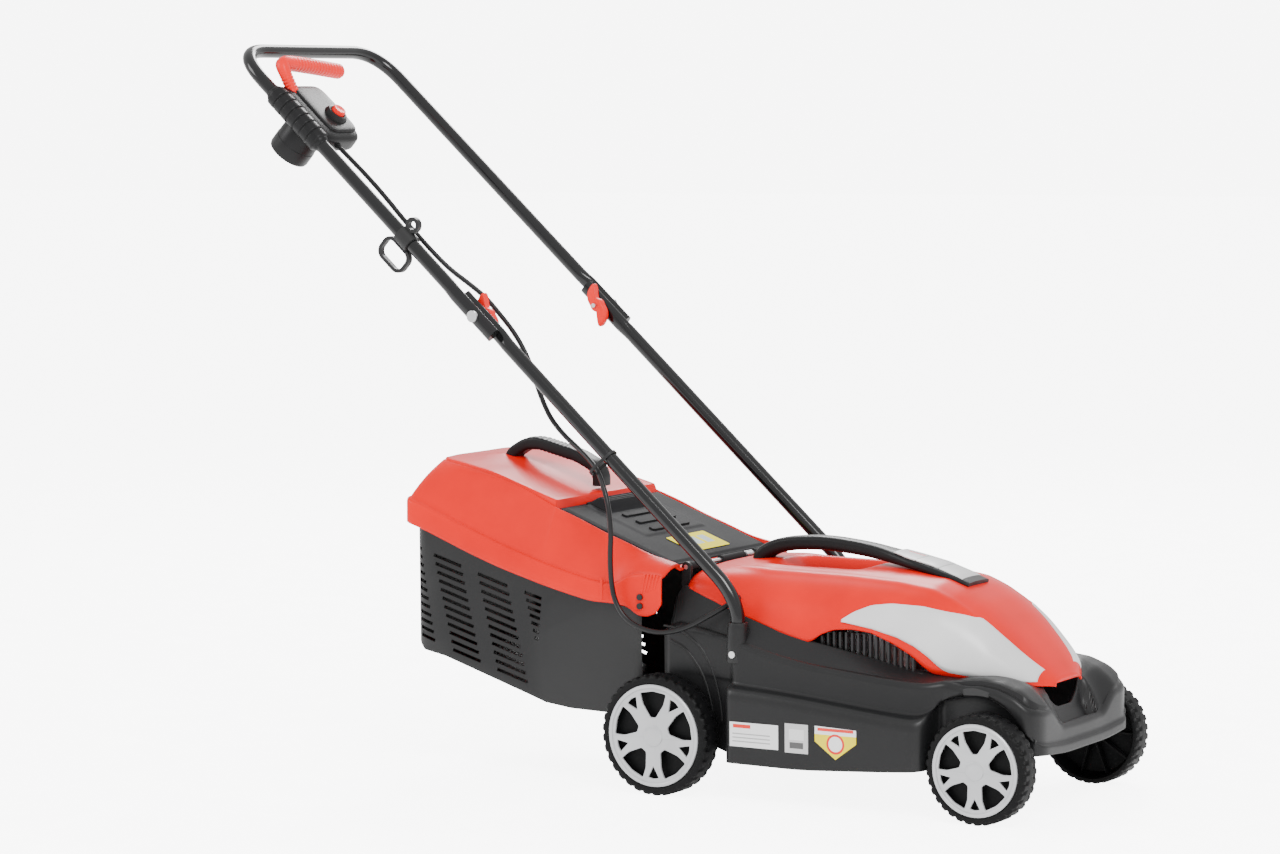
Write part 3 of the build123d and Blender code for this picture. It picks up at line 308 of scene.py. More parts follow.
def turned(name: str, profile: list[Pair], axes: Axes, count: int = 64, sharp: float = 30.0) -> Piece:
    """A profile of (radius, height) turned about the local z axis, poles closed by welding.

    Args:
        name: the piece's name.
        profile: radius and height pairs, from one pole or rim to the other.
        axes: local directions; z is the axis.
        count: steps round.
        sharp: edges turning by more than this many degrees stay crisp.
    Returns:
        The piece.
    """
    radius, height = np.array(profile, float).T
    angle = np.linspace(0, math.tau, count, endpoint=False)
    local = np.stack(
        [radius[:, None] * np.cos(angle), radius[:, None] * np.sin(angle), np.repeat(height[:, None], count, 1)], -1
    )
    closed = profile[0] != profile[-1]
    return sheet_piece(name, axes.place(local), wrap_columns=True, caps=closed and radius[0] > 0, sharp=sharp)


def frames_along(path: np.ndarray, up: np.ndarray) -> tuple[np.ndarray, np.ndarray, np.ndarray]:
    """Directions carried along a path without twist, starting from a given up direction.

    Args:
        path: places in order.
        up: rough up direction at the start.
    Returns:
        Tangent, side and up arrays, one row for each place.
    """
    tangent = np.gradient(path, axis=0)
    tangent /= np.linalg.norm(tangent, axis=1)[:, None]
    ups = np.empty_like(path)
    current = up - tangent[0] * (up @ tangent[0])
    for i, direction in enumerate(tangent):
        current = current - direction * (current @ direction)
        current /= np.linalg.norm(current)
        ups[i] = current
    return tangent, np.cross(ups, tangent), ups


def swept(
    name: str, path: np.ndarray, half_side: np.ndarray, half_up: np.ndarray, up: Triple,
    square: float = 2.0, count: int = 28, caps: bool = True,
) -> Piece:
    """A rounded section carried along a path.

    The section is a superellipse: each half width times cosine or sine to the power two over
    the squareness, so 2 is an ellipse and larger numbers are squarer.

    Args:
        name: the piece's name.
        path: places of the centre line.
        half_side, half_up: half widths at each place, sideways and upwards.
        up: rough up direction.
        square: squareness of the section.
        count: steps round the section.
        caps: whether the ends are filled.
    Returns:
        The piece.
    """
    _, side, above = frames_along(path, np.array(up, float))
    angle = np.linspace(0, math.tau, count, endpoint=False)
    power = 2 / square
    across = np.sign(np.cos(angle)) * np.abs(np.cos(angle)) ** power
    high = np.sign(np.sin(angle)) * np.abs(np.sin(angle)) ** power
    points = (
        path[:, None]
        + side[:, None] * (across * np.asarray(half_side)[:, None])[..., None]
        + above[:, None] * (high * np.asarray(half_up)[:, None])[..., None]
    )
    return sheet_piece(name, points, wrap_columns=True, caps=caps)


def superbox(name: str, half: Triple, axes: Axes, power: float = 5.0, count: int = 56) -> Piece:
    """A box with evenly rounded edges: a superellipsoid, closed at both poles.

    Each direction is a half size times products of cosines and sines to the power two over
    the squareness.

    Args:
        name: the piece's name.
        half: half sizes.
        axes: where it stands.
        power: squareness, 2 for an ellipsoid.
        count: steps round.
    Returns:
        The piece.
    """
    share = 2 / power
    lat = np.linspace(-math.pi / 2, math.pi / 2, count // 2)[:, None]
    lon = np.linspace(0, math.tau, count, endpoint=False)[None]

    def bent(value: np.ndarray) -> np.ndarray:
        """The value's size to the share's power, sign kept."""
        return np.sign(value) * np.abs(value) ** share

    x = bent(np.cos(lat)) * bent(np.cos(lon)) * half[0]
    y = bent(np.cos(lat)) * bent(np.sin(lon)) * half[1]
    z = bent(np.sin(lat)) * np.ones_like(lon) * half[2]
    return sheet_piece(name, axes.place(np.stack([x, y, z], -1)), wrap_columns=True, caps=False, sharp=60)


# ---- finishes -------------------------------------------------------------------------
def node(tree: Tree, kind: str, **values: object) -> bpy.types.Node:
    """Adds a shader node; names of inputs set their values, other names set properties."""
    made = tree.nodes.new(kind)
    for key, value in values.items():
        label = key.replace("_", " ")
        if label in made.inputs:
            made.inputs[label].default_value = value
        else:
            setattr(made, key, value)
    return made


def mould_group() -> Tree:
    """The shared moulded-surface effect, built once.

    Fine grain gives the height, a slow cloud shifts the colour and roughness a little, and
    convex edges turn paler where they rub.
    """
    found = bpy.data.node_groups.get("moulded_surface")
    if found:
        return found
    tree = bpy.data.node_groups.new("moulded_surface", "ShaderNodeTree")
    for label, kind, start in (
        ("Color", "NodeSocketColor", (0.5, 0.5, 0.5, 1)), ("Worn Color", "NodeSocketColor", (0.8, 0.8, 0.8, 1)),
        ("Grain Scale", "NodeSocketFloat", 900.0), ("Roughness", "NodeSocketFloat", 0.5),
        ("Spread", "NodeSocketFloat", 0.1), ("Wear", "NodeSocketFloat", 0.3),
    ):
        socket = tree.interface.new_socket(label, in_out="INPUT", socket_type=kind)
        socket.default_value = start
    for label, kind in (
        ("Color", "NodeSocketColor"), ("Roughness", "NodeSocketFloat"), ("Height", "NodeSocketFloat"),
    ):
        tree.interface.new_socket(label, in_out="OUTPUT", socket_type=kind)
    link = tree.links.new
    start, end = node(tree, "NodeGroupInput"), node(tree, "NodeGroupOutput")
    where = node(tree, "ShaderNodeTexCoord")
    grain = node(tree, "ShaderNodeTexNoise", Detail=3.0, Roughness=0.6)
    cloud = node(tree, "ShaderNodeTexNoise", Scale=14.0, Detail=4.0)
    shape = node(tree, "ShaderNodeNewGeometry")
    edge = node(tree, "ShaderNodeMapRange", From_Min=0.53, From_Max=0.62)
    worn = node(tree, "ShaderNodeMath", operation="MULTIPLY")
    rub = node(tree, "ShaderNodeMix", data_type="RGBA")
    shade = node(tree, "ShaderNodeMapRange", From_Min=0.3, From_Max=0.7, To_Min=0.92, To_Max=1.06)
    tint = node(tree, "ShaderNodeVectorMath", operation="SCALE")
    rough = node(tree, "ShaderNodeMath", operation="MULTIPLY_ADD")
    centre = node(tree, "ShaderNodeMath", operation="SUBTRACT")
    centre.inputs[1].default_value = 0.5
    link(where.outputs["Object"], grain.inputs["Vector"])
    link(where.outputs["Object"], cloud.inputs["Vector"])
    link(start.outputs["Grain Scale"], grain.inputs["Scale"])
    link(shape.outputs["Pointiness"], edge.inputs["Value"])
    link(edge.outputs["Result"], worn.inputs[0])
    link(start.outputs["Wear"], worn.inputs[1])
    link(worn.outputs[0], rub.inputs["Factor"])
    link(start.outputs["Color"], rub.inputs["A"])
    link(start.outputs["Worn Color"], rub.inputs["B"])
    link(cloud.outputs["Fac"], shade.inputs["Value"])
    link(rub.outputs["Result"], tint.inputs[0])
    link(shade.outputs["Result"], tint.inputs["Scale"])
    link(cloud.outputs["Fac"], centre.inputs[0])
    link(centre.outputs[0], rough.inputs[0])
    link(start.outputs["Spread"], rough.inputs[1])
    link(start.outputs["Roughness"], rough.inputs[2])
    link(tint.outputs[0], end.inputs["Color"])
    link(rough.outputs[0], end.inputs["Roughness"])
    link(grain.outputs["Fac"], end.inputs["Height"])
    return tree


@dataclass(frozen=True)
class Finish:
    """A surface finish on the shared moulded effect.

    Args:
        name: the material's name.
        color: base colour, linear.
        worn: colour of rubbed edges.
        rough: mean roughness.
        spread: how far roughness wanders.
        wear: strength of edge wear.
        grain_scale: grains per metre, roughly.
        grain_depth: height of the grain in millimetres.
        metal: 1 for bare metal.
        coat: strength of a clear gloss coat.
        specular: reflection strength.
    """

    name: str
    color: Triple
    worn: Triple
    rough: float = 0.45
    spread: float = 0.12
    wear: float = 0.3
    grain_scale: float = 1400.0
    grain_depth: float = 0.05
    metal: float = 0.0
    coat: float = 0.0
    specular: float = 0.5

    def material(self) -> bpy.types.Material:
        """The material for this finish, made on first use."""
        label = f"{self.name}_finish"
        made = bpy.data.materials.get(label)
        if made:
            return made
        made = bpy.data.materials.new(label)
        made.use_nodes = True
        tree = made.node_tree
        shader = tree.nodes["Principled BSDF"]
        shader.inputs["Metallic"].default_value = self.metal
        shader.inputs["Coat Weight"].default_value = self.coat
        shader.inputs["Coat Roughness"].default_value = 0.08
        shader.inputs["Specular IOR Level"].default_value = self.specular
        effect = node(tree, "ShaderNodeGroup", node_tree=mould_group())
        effect.inputs["Color"].default_value = (*self.color, 1)
        effect.inputs["Worn Color"].default_value = (*self.worn, 1)
        effect.inputs["Grain Scale"].default_value = self.grain_scale
        effect.inputs["Roughness"].default_value = self.rough
        effect.inputs["Spread"].default_value = self.spread
        effect.inputs["Wear"].default_value = self.wear
        relief = node(tree, "ShaderNodeBump", Strength=0.6, Distance=self.grain_depth * MM)
        tree.links.new(self.colour(tree, effect.outputs["Color"]), shader.inputs["Base Color"])
        tree.links.new(effect.outputs["Roughness"], shader.inputs["Roughness"])
        tree.links.new(effect.outputs["Height"], relief.inputs["Height"])
        tree.links.new(relief.outputs["Normal"], shader.inputs["Normal"])
        return made

    def colour(self, tree: Tree, base: Socket) -> Socket:
        """The colour that reaches the shader; printed finishes add their patches here."""
        return base


@dataclass(frozen=True)
class Patch:
    """A printed rectangle, or a disc where round is true, on a label.

    Args:
        axis: the two Object directions it spans, such as "XZ".
        centre: its middle in millimetres from the rear axle's line on the ground.
        half: its half sizes; a disc uses the first one.
        color: its ink.
        round: whether it is a disc.
    """

    axis: str
    centre: Pair
    half: Pair
    color: Triple
    round: bool = False


@dataclass(frozen=True)
class Printed(Finish):
    """A finish with plain printed patches and no lettering."""

    patches: tuple[Patch, ...] = ()

    def colour(self, tree: Tree, base: Socket) -> Socket:
        """Lays each patch over the base colour by its distance from the patch's middle."""
        where = node(tree, "ShaderNodeTexCoord")
        split = node(tree, "ShaderNodeSeparateXYZ")
        tree.links.new(where.outputs["Object"], split.inputs[0])
        for patch in self.patches:
            reach = []
            for letter, centre, half in zip(patch.axis, patch.centre, patch.half):
                middle_at = (centre + (REAR_AXLE_X if letter == "X" else 0.0)) * MM
                shift = node(tree, "ShaderNodeMath", operation="SUBTRACT")
                tree.links.new(split.outputs[letter], shift.inputs[0])
                shift.inputs[1].default_value = middle_at
                scale = node(tree, "ShaderNodeMath", operation="DIVIDE")
                tree.links.new(shift.outputs[0], scale.inputs[0])
                scale.inputs[1].default_value = half * MM
                size = node(tree, "ShaderNodeMath", operation="MULTIPLY" if patch.round else "ABSOLUTE")
                tree.links.new(scale.outputs[0], size.inputs[0])
                if patch.round:
                    tree.links.new(scale.outputs[0], size.inputs[1])
                reach.append(size)
            join = node(tree, "ShaderNodeMath", operation="ADD" if patch.round else "MAXIMUM")
            tree.links.new(reach[0].outputs[0], join.inputs[0])
            tree.links.new(reach[1].outputs[0], join.inputs[1])
            inside = node(tree, "ShaderNodeMath", operation="LESS_THAN")
            tree.links.new(join.outputs[0], inside.inputs[0])
            inside.inputs[1].default_value = 1.0
            mix = node(tree, "ShaderNodeMix", data_type="RGBA")
            tree.links.new(inside.outputs[0], mix.inputs["Factor"])
            tree.links.new(base, mix.inputs["A"])
            mix.inputs["B"].default_value = (*patch.color, 1)
            base = mix.outputs["Result"]
        return base


DECK_BLACK = Finish("deck_black", (0.009, 0.009, 0.0095), (0.05, 0.05, 0.05), rough=0.36, specular=0.26,
                    grain_depth=0.12, wear=0.35)
BASKET_BLACK = Finish("basket_black", (0.009, 0.009, 0.0095), (0.05, 0.05, 0.05), rough=0.4, specular=0.24,
                      grain_depth=0.1)
GRAPHITE = Finish("graphite", (0.011, 0.011, 0.012), (0.06, 0.06, 0.06), rough=0.62, grain_depth=0.05,
                  specular=0.08)
GRIP_BLACK = Finish("grip_black", (0.008, 0.008, 0.0085), (0.05, 0.05, 0.05), rough=0.36, specular=0.17,
                    grain_depth=0.03)
COVER_RED = Finish("cover_red", (0.68, 0.004, 0.001), (0.95, 0.03, 0.015), rough=0.32, spread=0.1, wear=0.1,
                   grain_depth=0.02, specular=0.13)
LEVER_RED = Finish("lever_red", (0.8, 0.007, 0.004), (1.0, 0.05, 0.03), rough=0.36, specular=0.2, wear=0.12,
                   grain_depth=0.03)
TRIM_PALE = Finish("trim_pale", (0.62, 0.62, 0.62), (0.8, 0.8, 0.8), rough=0.32, wear=0.1, grain_depth=0.02)
HUB_SILVER = Finish("hub_silver", (0.46, 0.465, 0.475), (0.68, 0.68, 0.68), rough=0.36, wear=0.25,
                    grain_depth=0.02, metal=0.35)
TYRE_BLACK = Finish("tyre_black", (0.004, 0.004, 0.0043), (0.02, 0.02, 0.02), rough=0.5, specular=0.12,
                    grain_depth=0.1, wear=0.12)
TUBE_BLACK = Finish("tube_black", (0.004, 0.004, 0.0045), (0.02, 0.02, 0.02), rough=0.16, spread=0.06, wear=0.1,
                    grain_depth=0.005, coat=0.0, specular=0.4)
SHEATH_BLACK = Finish("sheath_black", (0.006, 0.006, 0.0065), (0.03, 0.03, 0.03), rough=0.35, specular=0.3,
                      grain_depth=0.03)
STEEL = Finish("steel", (0.6, 0.6, 0.61), (0.8, 0.8, 0.8), rough=0.3, metal=1.0, grain_depth=0.02)
BLADE_STEEL = Finish("blade_steel", (0.16, 0.16, 0.17), (0.5, 0.5, 0.5), rough=0.4, metal=0.9, wear=0.7)
IRON = Finish("iron", (0.2, 0.17, 0.14), (0.4, 0.35, 0.3), rough=0.5, metal=0.7)
ALLOY = Finish("alloy", (0.55, 0.55, 0.56), (0.75, 0.75, 0.75), rough=0.45, metal=0.9, grain_depth=0.1)
BRASS = Finish("brass", (0.75, 0.55, 0.22), (0.9, 0.75, 0.4), rough=0.25, metal=1.0)
BADGE = Printed(
    "badge_pale", (0.5, 0.5, 0.5), (0.7, 0.7, 0.7), rough=0.3, wear=0.1, grain_depth=0.01,
    patches=(
        Patch("XY", (297, 0), (1.2, 30), (0.25, 0.25, 0.25)),
        Patch("XY", (331, 0), (1.2, 30), (0.25, 0.25, 0.25)),
        Patch("XY", (282, 9), (12, 2.2), (0.75, 0.02, 0.015)),
        Patch("XY", (314, 0), (14, 12), (0.5, 0.5, 0.5)),
    ),
)
SKIRT_PRINT = Printed(
    "skirt_print", (0.8, 0.66, 0.0), (0.9, 0.75, 0.2), rough=0.4, wear=0.05, grain_depth=0.01, specular=0.1,
    patches=(
        Patch("XZ", (146, 90), (40, 20), (0.75, 0.75, 0.75)), Patch("XZ", (209, 91), (20, 22), (0.5, 0.5, 0.5)),
        Patch("XZ", (128, 101), (13, 2.4), (0.65, 0.04, 0.03)),
        *(Patch("XZ", (142, z), (28, 0.8), (0.35, 0.35, 0.35)) for z in (91, 86, 81)),
        Patch("XZ", (209, 96), (11, 7), (0.66, 0.66, 0.66)), Patch("XZ", (209, 82), (10, 4), (0.1, 0.1, 0.1)),
        Patch("XZ", (266, 105.5), (32, 6), (0.78, 0.78, 0.78)),
        Patch("XZ", (266, 106), (26, 2), (0.7, 0.05, 0.04)),
        Patch("XZ", (266, 88), (13, 13), (0.7, 0.04, 0.03), round=True),
        Patch("XZ", (266, 88), (10, 10), (0.78, 0.78, 0.78), round=True),
    ),
)
FLAP_PRINT = Printed(
    "flap_print", (0.78, 0.68, 0.0), (0.9, 0.8, 0.2), rough=0.55, wear=0.05, grain_depth=0.01, specular=0.06,
    patches=(
        Patch("XY", (-50, -2), (10, 9), (0.42, 0.5, 0.5)),
        Patch("XY", (-50, 24), (10, 9), (0.42, 0.5, 0.5)),
        Patch("XY", (-48, -36), (15, 1.2), (0.25, 0.25, 0.1)),
        Patch("XY", (-48, -30), (15, 1.2), (0.25, 0.25, 0.1)),
    ),
)


class Body(Enum):
    """The bodies that move together, as the frame names them."""

    CHASSIS = "chassis"
    FLAP = "rear_flap"
    BOX = "grass_box"
    HANDLE = "upper_handle"
    LEVER = "switch_lever"
    BUTTON = "lock_button"


def settle(
    obj: Piece, body: Body | str, finish: Finish, replaces: tuple[str, ...] = ()
) -> Piece:
    """Dresses a finished piece and makes it ride on its body.

    Args:
        obj: the piece.
        body: the body that it moves with.
        finish: its surface.
        replaces: CAD nodes that it stands for.
    Returns:
        The same piece.
    """
    obj.data.materials.append(finish.material())
    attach(obj, body.value if isinstance(body, Body) else body)
    if replaces:
        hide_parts(*replaces)
    LOG.info("%s: %d points", obj.name, len(obj.data.vertices))
    return obj


# ---- deck -----------------------------------------------------------------------------
# each axle's lowest place (x, z) and the deck's half width there
AXLE_SLOTS = ((0.0, 80.0, 150.0), (464.0, 70.0, 149.0))
AXLE_TRAVEL = 26.0
SLOT_HALF = 5.6


def cut_slot(obj: Piece, x: float, z: float, reach: float) -> None:
    """Cuts an upright slot, open below and round above, through both side walls of a shell.

    Args:
        obj: the shell, with its modifiers.
        x: the slot's middle.
        z: the axle's lowest place.
        reach: how far the cut runs to each side.
    """
    angle = np.linspace(0, math.pi, 13)
    crown = np.column_stack([x + SLOT_HALF * np.cos(angle), z + AXLE_TRAVEL + SLOT_HALF * np.sin(angle)])
    outline = np.vstack([crown, [(x - SLOT_HALF, z - 30), (x + SLOT_HALF, z - 30)]])
    across = Axes((0, 0, 0), x=(1, 0, 0), y=(0, 0, 1), z=(0, -1, 0))
    cutter = plate("slot_cutter", outline, -reach, reach, across, width=0)
    change = obj.modifiers.new("slot", "BOOLEAN")
    change.operation = "DIFFERENCE"
    change.solver = "EXACT"
    change.object = cutter
    bpy.context.view_layer.update()
    mesh = bpy.data.meshes.new_from_object(obj.evaluated_get(bpy.context.evaluated_depsgraph_get()))
    obj.modifiers.clear()
    old, obj.data = obj.data, mesh
    mesh.name = obj.name
    bpy.data.meshes.remove(old)
    bpy.data.objects.remove(cutter)


@dataclass
class Deck:
    """The moulded deck: skirt, ledge, shoulder, nose bumper with its hand pocket, sockets.

    Each row of stations holds, for the right side from the rear housing to the nose, the
    skirt's place, the shoulder's place, the inner edge's place under the cover, and the four
    heights of the skirt's bottom, the ledge, the shoulder's crease and the inner edge.
    """

    stations: tuple[tuple[float, ...], ...] = (
        (-12, 150, -12, 150, -4, 133, 90, 160, 217, 254),
        (5, 150, 5, 150, 8, 133, 84, 160, 226, 274),
        (97, 150, 95, 152, 84, 139, 52, 152, 210, 247),
        (100, 190, 102, 172, 104, 140, 51, 150, 211, 238),
        (160, 190, 160, 172, 160, 141, 50.5, 146.5, 196, 220),
        (214, 190, 214, 172, 208, 141, 50, 142, 186, 211),
        (331, 190, 331, 170, 326, 132, 57, 130, 174, 187),
        (388, 190, 378, 164, 366, 122, 61.5, 126, 170.5, 180),
        (389, 138, 402, 149, 402, 118, 63, 148, 174, 176),
        (440, 138, 440, 149, 432, 108, 70, 160, 176, 172),
        (470, 138, 468, 149, 456, 98, 77, 154, 176, 169),
        (500, 138, 496, 149, 478, 80, 82, 136, 168, 164),
        (522, 138, 518, 146, 488, 62, 85, 104, 152, 160),
        (531, 124, 527, 124, 496, 46, 85, 97, 130, 158),
        (531, 62, 526, 62, 499, 22, 80, 92, 114, 158),
        (531, 0, 526, 0, 499, 0, 80, 92, 114, 158),
    )
    valley: Knots = ((400, 174), (452, 169), (484, 165), (500, 158), (511, 139), (521, 118), (531, 113))
    fender: Knots = (
        (384, 174), (420, 178), (450, 179.5), (475, 176.5), (500, 167), (515, 155), (526, 141), (531, 133),
    )
    reach: tuple[float, ...] = (0, 8, 9, 13, 30, 30, 30, 22, 10, 15, 15, 12, 10, 14, 20, 0)
    crease: float = 9.0
    wall: float = 3.0
    pocket_half: float = 60.0
    pocket_depth: float = 30.0
    motor: Pair = (240.0, 0.0)

    def nose_height(self, x: np.ndarray, y: np.ndarray) -> np.ndarray:
        """The nose's top: a steep valley in the middle, a fender's hump over each wheel.

        The valley and the hump are side-view lines; the share between them rises smoothly from
        60 to 106 mm off the middle, the outer edge rolls down by a square law, and the hand
        pocket is a smooth hollow in the valley's slope.
        """
        off = np.abs(y)
        low, high = curve_at(x, list(self.valley), 5), curve_at(x, list(self.fender), 6)
        z = low + (high - low) * smooth_step(off, 60, 106)
        z = z - 9 * smooth_step(off, 122, 152) ** 2
        pocket = bump(y, -self.pocket_half, self.pocket_half, 12) * bump(x, 492, 523, 9)
        return z - self.pocket_depth * pocket

    def shell(self) -> Piece:
        """The outer skin: outlines at rising levels, from the skirt's bottom to the cover's edge."""
        right = np.array(self.stations, float)
        right[:, [1, 3, 5]] *= -1
        rows = soften(mirrored(right, [1, 3, 5]), np.array(self.reach + self.reach[-2::-1]), 6.0)
        skirt, shoulder, inner = rows[:, 0:2], rows[:, 2:4], rows[:, 4:6]
        bottom, ledge, top, under = rows[:, 6:].T
        nose = smooth_step(shoulder[:, 0], 396, 432)
        top = top + (self.nose_height(shoulder[:, 0], shoulder[:, 1]) - top) * nose
        away = inner - shoulder
        span = np.maximum(np.linalg.norm(away, axis=1), 1e-6)
        away = away / span[:, None]
        step_in = shoulder - skirt
        levels = []
        roll = np.minimum(17, 0.4 * (ledge - bottom))
        for share, height in ((0, bottom), (0, bottom + 2), (0, ledge - roll), (0.03, ledge - 0.6 * roll),
                              (0.12, ledge - 0.27 * roll), (0.28, ledge - 0.07 * roll), (0.5, ledge + 0.3)):
            levels.append(np.column_stack([skirt + step_in * share, height]))
        for share, lift in ((0.8, 1.6), (0.95, 3.2), (1.0, 6.5)):
            levels.append(np.column_stack([skirt + step_in * share, ledge + lift]))
        for turn in np.linspace(0, math.pi / 2, 6):
            inset = self.crease * (1 - math.cos(turn))
            levels.append(np.column_stack([shoulder + away * inset, top - self.crease * (1 - math.sin(turn))]))
        for share in np.linspace(0, 1, 44)[1:]:
            place = shoulder + away * (self.crease + (span - self.crease)[:, None] * share)
            height = top + (under - top) * share
            nose = smooth_step(place[:, 0], 396, 432)
            height = height + (self.nose_height(place[:, 0], place[:, 1]) - height) * nose
            levels.append(np.column_stack([place, height]))
        shell = sheet_piece("deck_shell", np.array(levels), wall=self.wall, sharp=50)
        for x, z, half in AXLE_SLOTS:
            cut_slot(shell, x, z, half + 8)
        return shell

    def inside(self) -> list[Piece]:
        """Flat ceiling over the blade, round chamber wall, chute floor and roof."""
        up = Axes((self.motor[0], self.motor[1], 0))
        angle = np.linspace(0, math.tau, 97)
        ring = np.stack([np.cos(angle), np.sin(angle)], -1) * 175.0
        wall = np.array([np.column_stack([ring, np.full(97, z)]) for z in (64.0, 90.0, 118.0)])
        chamber = sheet_piece("blade_chamber_wall", up.place(wall), wall=2.5)
        # a ceiling with the shaft's hole: rings from the hole to a rounded square
        count = 96
        angle = np.linspace(0, math.tau, count, endpoint=False)
        reach_x = 128.0 / np.maximum(np.abs(np.cos(angle)), 1e-6)
        reach_y = 150.0 / np.maximum(np.abs(np.sin(angle)), 1e-6)
        outer = np.minimum(reach_x, reach_y)
        rows = []
        for share in np.linspace(0, 1, 8):
            radius = 18 + (outer - 18) * share
            flat = [radius * np.cos(angle), radius * np.sin(angle), np.full(count, 151.0)]
            rows.append(np.column_stack(flat))
        ceiling = sheet_piece("deck_ceiling", up.place(np.array(rows)), wall=3, wrap_columns=True)
        corners = np.array([(-10, -146), (98, -146), (98, 146), (-10, 146)])
        floor = plate("chute_floor", corners, 115, 118, Axes((0, 0, 0)))
        roof_x = np.linspace(-10, 100, 12)
        roof_z = np.interp(roof_x, [-10, 5, 100], [240, 260, 231])
        roof_y = np.linspace(-122, 122, 5)
        roof = np.array([[(x, y, z) for y in roof_y] for x, z in zip(roof_x, roof_z)])
        cap = sheet_piece("chute_roof", roof, wall=3)
        return [chamber, ceiling, floor, cap]

    def fittings(self) -> list[Piece]:
        """Handle sockets, hinge lugs and the slotted guide plates of both axles."""
        made = []
        for name, side in SIDES:
            socket = Axes((105, side * 158, 0))
            profile = [(15.6, 180), (15.2, 205), (14.6, 212), (14.2, 220), (13.9, 229), (13.2, 231.6), (12.4, 232),
                       (10.6, 232), (9.9, 231.2), (9.9, 190)]
            made.append(turned(f"handle_socket_{name}", profile, socket, 48))
            lug = Axes((0, side * 115, 0), x=(1, 0, 0), y=(0, 0, 1), z=(0, side, 0))
            angle = np.linspace(math.pi, 0, 14)
            crown = np.column_stack([5 + 7 * np.cos(angle), 295 + 7 * np.sin(angle)])
            made.append(plate(f"hinge_lug_{name}", np.vstack([[(12, 252), (-2, 252)], crown]), 0, 6, lug))
            for k, arc in enumerate((
                [(-12, 219.5), (8, 218), (43, 198), (64, 161), (74, 122), (76, 99)],
                [(-4, 201), (23, 191), (49, 157), (60, 120), (63, 99)],
            )):
                knots = soften(np.array(arc, float), np.full(len(arc), 30.0), 5.0)
                path = np.column_stack([knots[:, 0], np.full(len(knots), side * 150.2), knots[:, 1]])
                half = np.full(len(knots), 1.7)
                made.append(swept(f"wheel_arch_rib_{name}_{k}", path, half, half, (0, 1, 0), count=12))
            for end, x, z, half, low in (("rear", 0.0, 80.0, 150.0, 66.0), ("front", 464.0, 70.0, 138.0, 57.0)):
                angle = np.linspace(0, math.pi, 10)
                slot = np.vstack([
                    np.column_stack([x + 5.4 * np.cos(angle), z + 26 + 5.4 * np.sin(angle)]),
                    np.column_stack([x - 5.4 * np.cos(angle), z - 5.4 * np.sin(angle)]),
                ])
                round_angle = np.linspace(0, math.tau, 20, endpoint=False)
                rim = np.column_stack([x + 16 * np.cos(round_angle), z + 13 + 26 * np.sin(round_angle)])
                rim = np.clip(rim, [x - 14, low], [x + 14, z + 38])
                order = np.concatenate([rim, rim[:1], slot[:1], slot[::-1]])
                guide = Axes((0, side * (half - 6), 0), x=(1, 0, 0), y=(0, 0, 1), z=(0, side, 0))
                made.append(plate(f"axle_guide_{end}_{name}", order, 0, 5.4, guide, width=0))
        return made

    def build(self) -> None:
        """Makes the deck's pieces and dresses them."""
        shell = settle(self.shell(), Body.CHASSIS, DECK_BLACK, ("deck",))
        for piece in self.inside() + self.fittings():
            settle(piece, Body.CHASSIS, DECK_BLACK)
        LOG.info("deck done around %s", shell.name)


